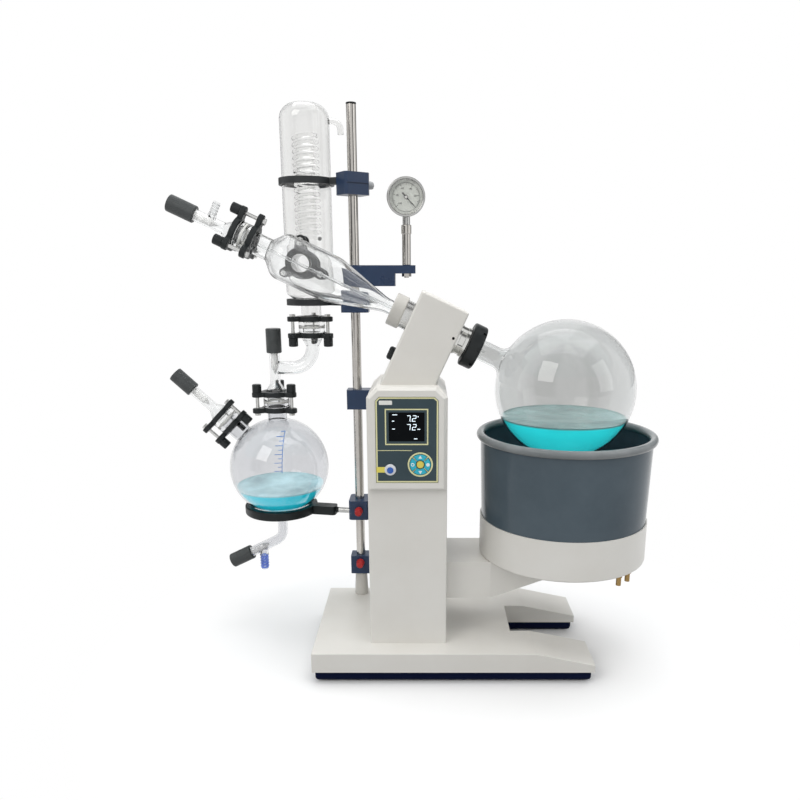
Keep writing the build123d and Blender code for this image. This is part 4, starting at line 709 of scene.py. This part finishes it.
INK = coated(
    "dial_ink", clean=(0.012, 0.012, 0.014), soiled=(0.02, 0.02, 0.022), smooth=0.4, rough=0.5,
    skin=2200.0, bump=0.04, drift=60.0,
)
SCALE_INK = coated(
    "scale_ink", clean=(0.02, 0.16, 0.55), soiled=(0.025, 0.2, 0.6), smooth=0.4, rough=0.5, skin=2200.0,
    bump=0.04, drift=60.0,
)
LIT = lit_print("lit_figures", colour=(0.8, 0.93, 1.0), strength=0.75)


# Bare metal

STEEL = worked_metal(
    "drawn_steel", colour=(0.62, 0.62, 0.61), shaded=(0.55, 0.55, 0.54), stretch=(900.0, 900.0, 40.0),
    smooth=0.2, rough=0.34,
)
ROD = worked_metal(
    "rod_chrome", colour=(0.52, 0.5, 0.47), shaded=(0.44, 0.42, 0.4), stretch=(1400.0, 1400.0, 25.0),
    smooth=0.1, rough=0.2, bump=0.02,
)
CHROME = worked_metal(
    "bright_chrome", colour=(0.66, 0.66, 0.64), shaded=(0.6, 0.6, 0.58), stretch=(600.0, 600.0, 600.0),
    smooth=0.05, rough=0.12, bump=0.01,
)
GAUGE_STEEL = worked_metal(
    "gauge_steel", colour=(0.46, 0.46, 0.45), shaded=(0.39, 0.39, 0.38), stretch=(600.0, 600.0, 600.0),
    smooth=0.1, rough=0.2, bump=0.01,
)
ALUMINIUM = worked_metal(
    "milled_aluminium", colour=(0.7, 0.7, 0.7), shaded=(0.63, 0.63, 0.63), stretch=(60.0, 900.0, 900.0),
    smooth=0.28, rough=0.42,
)
BRASS = worked_metal(
    "turned_brass", colour=(0.33, 0.22, 0.09), shaded=(0.26, 0.17, 0.07), stretch=(300.0, 300.0, 1800.0),
    smooth=0.2, rough=0.34,
)


# Glass

GLASS = glass_with_painted_shade(
    "borosilicate", tint=(0.945, 0.95, 0.95), soiled=(0.92, 0.925, 0.925), edge=(0.26, 0.27, 0.275),
    start=0.42,
)
# The big flask is painted greyer in its middle than near its edge, as painted shade of what is seen through
# it
FLASK_GLASS = glass_with_painted_shade(
    "flask_glass", tint=(0.69, 0.695, 0.69), soiled=(0.66, 0.665, 0.66), edge=(0.81, 0.82, 0.82),
    start=0.04, full=0.32,
)
# The receiver's grey tint is painted shade of what is seen through it
RECEIVER_GLASS = glass_with_painted_shade(
    "receiver_glass", tint=(0.82, 0.825, 0.84), soiled=(0.78, 0.785, 0.8), edge=(0.56, 0.58, 0.6)
)
JACKET_GLASS = glass_with_painted_shade(
    "jacket_glass", tint=(0.91, 0.91, 0.905), soiled=(0.88, 0.88, 0.875), edge=(0.6, 0.61, 0.61)
)
# The duct's near-black tone along its walls is a painted reflection of dark things around it
DUCT_GLASS = glass_with_painted_shade(
    "duct_glass", tint=(0.945, 0.95, 0.95), soiled=(0.92, 0.925, 0.925), edge=(0.03, 0.032, 0.034),
    start=0.38,
)
COIL_GLASS = glass_with_painted_shade(
    "coil_glass", tint=(0.94, 0.94, 0.935), soiled=(0.92, 0.92, 0.915), edge=(0.74, 0.75, 0.75)
)
LENS = glass_with_painted_shade(
    "gauge_glass", tint=(0.99, 0.99, 0.985), soiled=(0.97, 0.975, 0.97), edge=(0.8, 0.8, 0.8), smooth=0.0,
    rough=0.02,
)
FROSTED = glass_with_painted_shade(
    "frosted_glass", tint=(0.96, 0.965, 0.965), soiled=(0.94, 0.945, 0.945), edge=(0.92, 0.93, 0.93),
    smooth=0.25, rough=0.4,
)
BARB_GLASS = glass_with_painted_shade(
    "blue_barb_glass", tint=(0.3, 0.42, 0.85), soiled=(0.2, 0.32, 0.8), edge=(0.05, 0.1, 0.5),
    smooth=0.02, rough=0.08,
)


# Dyed water

FLASK_LEVEL = 411.0
RECEIVER_LEVEL = 258.0
# Both liquids have a painted glow; the flask's top is painted darker, as painted shade, the receiver's top
# paler, as painted light
FLASK_WATER = dyed_water_painted_glow(
    "flask_water", body=(0.04, 0.8, 0.85), deep=(0.03, 0.74, 0.8), surface=(0.16, 0.25, 0.245),
    level=FLASK_LEVEL, through=0.15, glow=0.66,
)
RECEIVER_WATER = dyed_water_painted_glow(
    "receiver_water", body=(0.02, 0.6, 0.72), deep=(0.018, 0.55, 0.67), surface=(0.4, 0.58, 0.61),
    level=RECEIVER_LEVEL, through=0.15, glow=0.5,
)


# Valves, whose stems and handles differ

HANDLE = (0.07, 0.076, 0.077)
STEM = (0.93, 0.93, 0.92)
FEED_VALVE = two_tone(
    "feed_valve_plastic", before=STEM, past=HANDLE, foot=(-394.1, 0, 721.3), axis=(-0.9063, 0, 0.4226)
)
ELBOW_VALVE = two_tone(
    "elbow_valve_plastic", before=STEM, past=HANDLE, foot=(-311.7, 130, 498.5), axis=(0, 0, 1)
)
VENT_VALVE = two_tone(
    "vent_valve_plastic", before=STEM, past=HANDLE, foot=(-459.5, 130, 432.2), axis=(-0.7254, 0, 0.6884)
)
DRAIN_VALVE = two_tone(
    "drain_valve_plastic", before=STEM, past=HANDLE, foot=(-371.2, 130, 124.0),
    axis=(-0.8988, 0, -0.4384),
)


# Which finish each node of the model has

NODE_FINISH = {
    CREAM: ["base_cover", "column_shell", "bath_arm", "bath_skirt", "head_housing", "panel_bezel"],
    TRAY: ["base_chassis"],
    NAVY: ["boss_clamps", "rod_brackets", "gauge_arm"],
    POT: ["bath_pot"],
    DARK: ["condenser_rings"],
    RING: ["receiver_ring"],
    FEED_VALVE: ["feed_valve"],
    ELBOW_VALVE: ["elbow_valve"],
    VENT_VALVE: ["vent_valve"],
    DRAIN_VALVE: ["drain_valve"],
    BLACK: ["clamp_plates", "clamp_knobs", "flask_clamp_nut", "cable_glands", "lift_motor"],
    BEIGE: ["duct_lock_nut", "rod_socket"],
    SCREWS: ["clamp_screws"],
    FASCIA: ["panel_fascia"],
    SCREEN: ["display_window"],
    KEYS: ["key_up", "key_right", "key_down", "key_left"],
    CENTRE_KEY: ["key_centre"],
    WHITE_CAP: ["power_button"],
    SEAL: ["flange_seals", "vacuum_seal"],
    INK: ["gauge_needle"],
    STEEL: [
        "lift_frame", "lift_screw", "drive_motor", "drive_pinion", "spindle_bearings", "clamp_bolts",
        "duct_socket",
    ],
    ROD: ["support_rod", "gauge_post"],
    CHROME: ["spindle"],
    GAUGE_STEEL: ["gauge_case"],
    ALUMINIUM: ["lift_carriage", "bath_heater"],
    BRASS: ["bath_fittings", "drive_gear"],
    DUCT_GLASS: ["vapour_duct"],
    GLASS: ["feed_inlet", "return_elbow", "vent_inlet"],
    FLASK_GLASS: ["evaporating_flask"],
    RECEIVER_GLASS: ["receiving_flask"],
    JACKET_GLASS: ["condenser_jacket"],
    COIL_GLASS: ["condenser_coil"],
    LENS: ["gauge_lens"],
}


def paint_nodes():
    for finish, names in NODE_FINISH.items():
        for name in names:
            node = nodes[name]
            node.data.materials.clear()
            node.data.materials.append(finish)


# Thicknesses of print and film

INK_DEPTH = 0.08
ARC_DEPTH = 0.06
FIGURE_DEPTH = 0.04
PRINT_DEPTH = 0.1
FILM_DEPTH = 0.15
FRAME_DEPTH = 0.2
PRINT_STANDOFF = 0.12       # print in front of the fascia


# Pools of liquid

FLASK_CENTRE = (179.42, 0, 453.83)
FLASK_POOL_R = 108.6
RECEIVER_CENTRE = (-311.7, 130, 291.94)
RECEIVER_POOL_R = 86.1
LIP_WIDTH = 2.2             # where the liquid climbs the glass
LIP_RISE = 0.9
EASE_WIDTH = 4.0            # from the lip to the level surface
EASE_RISE = 0.3


def pool(name, centre, radius, level, material):
    """Liquid in a round flask: a ball cut level, with a lip where it climbs the glass."""
    deselect()
    bpy.ops.mesh.primitive_uv_sphere_add(
        segments=96, ring_count=64, radius=radius * MM, location=[value * MM for value in centre]
    )
    ball = bpy.context.object
    bake_place()
    open_mesh()
    bpy.ops.mesh.select_all(action="SELECT")
    bpy.ops.mesh.bisect(
        plane_co=(0, 0, level * MM), plane_no=(0, 0, 1), use_fill=True, clear_outer=True
    )
    choose(ball, lambda place, normal: normal.z > 0.99 and place.z > (level - 0.5) * MM)
    bpy.ops.mesh.inset(thickness=LIP_WIDTH * MM, depth=-LIP_RISE * MM)
    bpy.ops.mesh.inset(thickness=EASE_WIDTH * MM, depth=-EASE_RISE * MM)
    close_mesh()
    take(ball)
    bpy.ops.object.shade_smooth_by_angle(angle=radians(40))
    return settle(ball, name, "stand", material)


# Gauge dial

DIAL_R = 27.2
DIAL_BEHIND_LENS = 7.7      # behind the front of the lens
SCALE_R = 22.4
SCALE_START = -47           # degrees up from level on the right, where the figure 0 stands
SCALE_SWEEP = 270
SCALE_PARTS = 50
SCALE_LIFT = 0.25           # scale in front of the dial
ARC_R = 22.9
ARC_LINE = 0.4
DIAL_FIGURES = ("0", "-20", "-40", "-60", "-80", "-100")
DIAL_FIGURE_R = 14.6
DIAL_FIGURE_SIZE = 4.2
HUB_R = 2.6


def scale_angle(part):
    """Angle of a part of the gauge's scale, from 0 to 1."""
    return radians(SCALE_START + SCALE_SWEEP * part)


def gauge_dial():
    x, front, z = middle("gauge_lens")
    back = front + DIAL_BEHIND_LENS
    face = front_disc(x, back, z, DIAL_R, 96)
    inset_face(face, 0.9, -0.2)
    thicken(face, PRINT_DEPTH)
    settle(face, "gauge_dial", "stand", DIAL)
    marks = []
    for step in range(SCALE_PARTS + 1):
        length, width = 2.0, 0.3
        if step % 10 == 0:
            length, width = 4.2, 0.6
        elif step % 5 == 0:
            length, width = 3.0, 0.6
        mark = front_sheet(x + SCALE_R - length / 2, back - SCALE_LIFT, z, length, width)
        thicken(mark, INK_DEPTH)
        turn_about(mark, x, z, scale_angle(step / SCALE_PARTS))
        marks.append(mark)
    for step, text in enumerate(DIAL_FIGURES):
        angle = scale_angle(step / (len(DIAL_FIGURES) - 1))
        across, up = DIAL_FIGURE_R * cos(angle), DIAL_FIGURE_R * sin(angle)
        marks.append(figures(text, x + across, back - SCALE_LIFT, z + up, DIAL_FIGURE_SIZE))
    arc = front_disc(x, back - 0.22, z, ARC_R, 96)
    outline_only(arc, ARC_LINE)
    thicken(arc, ARC_DEPTH)
    marks.append(arc)
    settle(join(marks), "gauge_dial_scale", "stand", INK)
    needle_front = middle("gauge_needle")[1]
    hub = front_disc(x, needle_front - 0.05, z, HUB_R, 32)
    inset_face(hub, 0.6, 0.5)
    thicken(hub, FRAME_DEPTH)
    settle(hub, "gauge_needle_hub", "gauge_needle", CHROME)


# Control panel print

BAR_WIDTH, BAR_HEIGHT, BAR_LINE, BAR_LEAN = 5.0, 8.4, 1.0, 0.13
BARS = {
    "a": (0, BAR_HEIGHT / 2, BAR_WIDTH, BAR_LINE),
    "b": (BAR_WIDTH / 2, BAR_HEIGHT / 4, BAR_LINE, BAR_HEIGHT / 2),
    "c": (BAR_WIDTH / 2, -BAR_HEIGHT / 4, BAR_LINE, BAR_HEIGHT / 2),
    "d": (0, -BAR_HEIGHT / 2, BAR_WIDTH, BAR_LINE),
    "e": (-BAR_WIDTH / 2, -BAR_HEIGHT / 4, BAR_LINE, BAR_HEIGHT / 2),
    "g": (0, 0, BAR_WIDTH, BAR_LINE),
}
# Places from the middle of the window: across, up, and the bars that are lit
LIT_FIGURES = ((2.8, 12.9, "abc"), (11.4, 12.9, "abged"), (2.8, -0.3, "abc"), (11.4, -0.3, "abged"))
# Places from the middle of the window: across and up, with width and height
LIT_DASHES = (
    (-17.5, 18.5, (7.4, 1.1)), (-20, 9, (3.4, 1.3)), (-19.5, -3, (4.4, 1.1)), (18.2, -3.4, (4.4, 1.2)),
    (13.5, -18, (4.8, 1.3)), (17.2, 15.6, (1.5, 1.5)),
)
LIT_POINT = (6.4, 8.8, (1.2, 1.2))
FASCIA_LINE = 2.2
DISPLAY_LINE = 1.8
DISPLAY_MARGIN = 11.5       # of the line round the window, both sides together
TAB_FROM_LEFT, TAB_BELOW_TOP, TAB_SIZE = 15.5, 8.6, (19.5, 6.4)
LINE_FROM_LEFT, LINE_ABOVE_FOOT, LINE_SIZE = 28.5, 50.3, (52, 0.9)
STRIP_FROM_LEFT, STRIP_STANDOFF, STRIP_SIZE = 7.2, 0.16, (13.2, 8.6)
KEYPAD_RING_R, KEYPAD_RING_LINE = 19.0, 2.4
SPOKE_REACH, SPOKE_SIZE = 12.2, (9.4, 0.9)
ARROW_REACH, ARROW_R = 11.3, 3.3
DOT_REACH, DOT_R, DOT_LINE = 11.5, 2.7, 1.2
POWER_CAP_R = 4.9


def lit_figure(segments, x, y, z):
    """One leaning seven-bar figure, drawn from the bars that are lit."""
    bars = []
    for segment in segments:
        across, up, wide, tall = BARS[segment]
        centre_x = x + across + up * BAR_LEAN
        piece = front_sheet(centre_x, y, z + up, wide, tall)
        round_corners(piece, 0.4, 2)
        if tall > wide:
            turn_about(piece, centre_x, z + up, -BAR_LEAN)
        bars.append(piece)
    figure = join(bars)
    thicken(figure, INK_DEPTH)
    return figure


def panel_print():
    low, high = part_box("panel_fascia")
    face = low[1] / MM - PRINT_STANDOFF
    left, right = low[0] / MM, high[0] / MM
    bottom, top = low[2] / MM, high[2] / MM
    border = front_sheet((left + right) / 2, face, (bottom + top) / 2, right - left - 1, top - bottom - 1)
    round_corners(border, 5.4, 1, lambda place: place.z > (bottom + top) / 2 * MM)
    outline_only(border, FASCIA_LINE)
    thicken(border, PRINT_DEPTH)
    settle(border, "fascia_border", "stand", YELLOW_LINE)

    low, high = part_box("display_window")
    x, front, z = middle("display_window")
    width = (high[0] - low[0]) / MM + DISPLAY_MARGIN
    height = (high[2] - low[2]) / MM + DISPLAY_MARGIN
    border = front_sheet(x, face, z, width, height)
    outline_only(border, DISPLAY_LINE)
    thicken(border, PRINT_DEPTH)
    settle(border, "display_border", "stand", YELLOW_LINE)
    glass = front - 0.1
    shown = [lit_figure(segments, x + across, glass, z + up) for across, up, segments in LIT_FIGURES]
    across, up, size = LIT_POINT
    shown.append(rounded_patch(x + across, glass, z + up, size, corner=0.3, segments=3, depth=INK_DEPTH))
    for across, up, size in LIT_DASHES:
        dash = rounded_patch(x + across, glass, z + up, size, corner=0.5, segments=3, depth=INK_DEPTH)
        shown.append(dash)
    settle(join(shown), "display_figures", "stand", LIT)

    tab = rounded_patch(
        left + TAB_FROM_LEFT, face, top - TAB_BELOW_TOP, TAB_SIZE, corner=1.4, segments=5, depth=FILM_DEPTH
    )
    settle(tab, "bare_tab", "stand", PALE_TAB)
    line = rounded_patch(
        left + LINE_FROM_LEFT, face, bottom + LINE_ABOVE_FOOT, LINE_SIZE, corner=0.3, segments=2,
        depth=PRINT_DEPTH,
    )
    settle(line, "fascia_line", "stand", YELLOW_LINE)


def keypad_print():
    face = middle("panel_fascia")[1] - PRINT_STANDOFF
    x, _, z = middle("key_centre")
    ring = front_disc(x, face, z, KEYPAD_RING_R, 96)
    outline_only(ring, KEYPAD_RING_LINE)
    thicken(ring, FRAME_DEPTH)
    lines = [ring]
    for turn in range(4):
        spoke = front_sheet(x + SPOKE_REACH, face, z, *SPOKE_SIZE)
        thicken(spoke, FRAME_DEPTH)
        turn_about(spoke, x, z, radians(45 + 90 * turn))
        lines.append(spoke)
    settle(join(lines), "keypad_frame", "stand", YELLOW_LINE)
    key_face = middle("key_up")[1] - INK_DEPTH
    for name, side in (("key_up", 1), ("key_down", -1)):
        deselect()
        bpy.ops.mesh.primitive_circle_add(
            vertices=3, radius=ARROW_R * MM, fill_type="NGON",
            location=(x * MM, key_face * MM, (z + side * ARROW_REACH) * MM),
            rotation=(pi / 2, 0 if side > 0 else pi, 0),
        )
        arrow = bpy.context.object
        bake_place()
        round_corners(arrow, 0.4, 3)
        thicken(arrow, INK_DEPTH)
        settle(arrow, name + "_mark", name, KEY_MARK)
    for name, side in (("key_left", -1), ("key_right", 1)):
        dot = front_disc(x + side * DOT_REACH, key_face, z, DOT_R, 40)
        if side < 0:
            outline_only(dot, DOT_LINE)
        thicken(dot, INK_DEPTH)
        settle(dot, name + "_mark", name, KEY_MARK)


def power_print():
    x, front, z = middle("power_button")
    cap = front_disc(x, front + 0.35, z, POWER_CAP_R, 64)
    open_mesh()
    bpy.ops.mesh.select_all(action="SELECT")
    bpy.ops.mesh.extrude_region_move(TRANSFORM_OT_translate={"value": (0, -0.9 * MM, 0)})
    bpy.ops.mesh.inset(thickness=0.8 * MM, depth=0.3 * MM)
    bpy.ops.mesh.inset(thickness=1.6 * MM, depth=-0.3 * MM)
    close_mesh()
    take(cap)
    bpy.ops.object.shade_smooth_by_angle(angle=radians(35))
    settle(cap, "power_button_cap", "power_button", BLUE_CAP)
    low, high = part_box("panel_fascia")
    strip = rounded_patch(
        low[0] / MM + STRIP_FROM_LEFT, low[1] / MM - STRIP_STANDOFF, z, STRIP_SIZE, corner=0.8, segments=3,
        depth=FILM_DEPTH,
    )
    settle(strip, "power_strip", "stand", STRIP)


# Marks on the receiver, ridges on the hose stubs and the cap of the rod

GRADUATION_X = -290.5
GRADUATION_TOP = 367.0
GRADUATION_HEIGHT = 65.0
GRADUATION_PITCH = 6.8
GRADUATIONS = 10
GRADUATION_LINE = 0.9
RIDGE_TIP_WALL = 0.45       # wall of a ridge at its narrow end
RIDGE_SLIP = 0.03           # room between a ridge and its stub
RIDGE_START = 0.6           # first ridge past the stub's foot
CAP_OVERHANG = 0.3
CAP_HEIGHT = 2.2
CAP_GAP = 0.05


def receiver_scale():
    """Blue graduations on the front of the receiving flask, laid on the glass."""
    strokes = [(GRADUATION_X, GRADUATION_TOP - GRADUATION_HEIGHT / 2, 1.0, GRADUATION_HEIGHT)]
    for step in range(GRADUATIONS):
        length = 13.0 if step % 2 else 7.0
        height = GRADUATION_TOP - 0.4 - step * GRADUATION_PITCH
        strokes.append((GRADUATION_X - length / 2, height, length, GRADUATION_LINE))
    marks = []
    for x, z, width, height in strokes:
        deselect()
        bpy.ops.mesh.primitive_grid_add(
            x_subdivisions=10 if width > height else 1, y_subdivisions=1 if width > height else 40, size=1,
            location=(x * MM, 0.02, z * MM), rotation=FACING_FRONT,
        )
        mark = bpy.context.object
        mark.scale = (width * MM, height * MM, 1)
        bake_place()
        marks.append(mark)
    scale = join(marks)
    wrap = scale.modifiers.new("lay_on_glass", "SHRINKWRAP")
    wrap.target = nodes["receiving_flask"]
    wrap.wrap_method = "PROJECT"
    wrap.use_project_x = False
    wrap.use_project_y = True
    wrap.use_project_z = False
    wrap.use_positive_direction = True
    wrap.use_negative_direction = False
    wrap.offset = 0.15 * MM
    bpy.ops.object.modifier_apply(modifier=wrap.name)
    thicken(scale, INK_DEPTH)
    settle(scale, "receiver_scale", "stand", SCALE_INK)


def hose_ridges(name, foot, axis, core, crest, depth, pitch, count, material):
    """Ridges of a hose stub: sleeves that narrow towards the stub's tip, one modelled and the rest copied."""
    deselect()
    bpy.ops.mesh.primitive_cone_add(
        vertices=48, radius1=crest * MM, radius2=(core + RIDGE_TIP_WALL) * MM, depth=depth * MM,
        end_fill_type="NGON",
    )
    ridge = bpy.context.object
    open_mesh()
    choose(ridge, lambda place, normal: normal.z < -0.9)
    bpy.ops.mesh.inset(thickness=(crest - core - RIDGE_SLIP) * MM)
    bpy.ops.mesh.delete(type="FACE")
    choose(ridge, lambda place, normal: normal.z > 0.9)
    bpy.ops.mesh.inset(thickness=(RIDGE_TIP_WALL - RIDGE_SLIP) * MM)
    bpy.ops.mesh.delete(type="FACE")
    bpy.ops.mesh.select_mode(type="EDGE")
    bpy.ops.mesh.select_non_manifold()
    bpy.ops.mesh.bridge_edge_loops()
    bpy.ops.mesh.select_all(action="SELECT")
    bpy.ops.mesh.normals_make_consistent(inside=False)
    close_mesh()
    bpy.ops.object.shade_smooth_by_angle(angle=radians(35))
    ridges = [ridge]
    for _ in range(1, count):
        copy = ridge.copy()
        copy.data = ridge.data.copy()
        bpy.context.scene.collection.objects.link(copy)
        ridges.append(copy)
    along = Vector(axis)
    for step, piece in enumerate(ridges):
        piece.rotation_euler = along.to_track_quat("Z", "Y").to_euler()
        piece.location = (Vector(foot) + along * (depth / 2 + RIDGE_START + pitch * step)) * MM
    settle(join(ridges), name, "stand", material)


def rod_cap():
    """Thin black plug on the top end of the support rod."""
    low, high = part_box("support_rod")
    deselect()
    bpy.ops.mesh.primitive_cylinder_add(
        vertices=48, radius=(high[0] - low[0]) / 2 + CAP_OVERHANG * MM, depth=CAP_HEIGHT * MM,
        location=(
            (low[0] + high[0]) / 2, (low[1] + high[1]) / 2, high[2] + (CAP_HEIGHT / 2 + CAP_GAP) * MM
        ),
    )
    cap = bpy.context.object
    bake_place()
    open_mesh()
    choose(cap, lambda place, normal: normal.z > 0.9)
    bpy.ops.mesh.bevel(offset=0.6 * MM, segments=3, affect="EDGES")
    choose(cap, lambda place, normal: normal.z > 0.99 and place.z > high[2] + 2 * MM)
    bpy.ops.mesh.inset(thickness=2.5 * MM, depth=-0.3 * MM)
    close_mesh()
    take(cap)
    bpy.ops.object.shade_smooth_by_angle(angle=radians(35))
    settle(cap, "rod_cap", "stand", BLACK)


set_camera()
set_room()
set_floor()
paint_nodes()
pool("flask_liquid", FLASK_CENTRE, FLASK_POOL_R, FLASK_LEVEL, FLASK_WATER)
pool("receiver_liquid", RECEIVER_CENTRE, RECEIVER_POOL_R, RECEIVER_LEVEL, RECEIVER_WATER)
gauge_dial()
panel_print()
keypad_print()
power_print()
receiver_scale()
rod_cap()
hose_ridges(
    "drain_barb_ridges", foot=(-349.449, 130, 118.13), axis=(0, 0, -1), core=6.5, crest=8.2, depth=4.2,
    pitch=5.4, count=5, material=BARB_GLASS,
)
hose_ridges(
    "feed_barb_ridges", foot=(-367.448, 0, 722.076), axis=(0.4226, 0, 0.9063), core=5.0, crest=6.0, depth=3.2,
    pitch=4.5, count=4, material=FROSTED,
)

scene = bpy.context.scene
scene.view_settings.view_transform = "Standard"
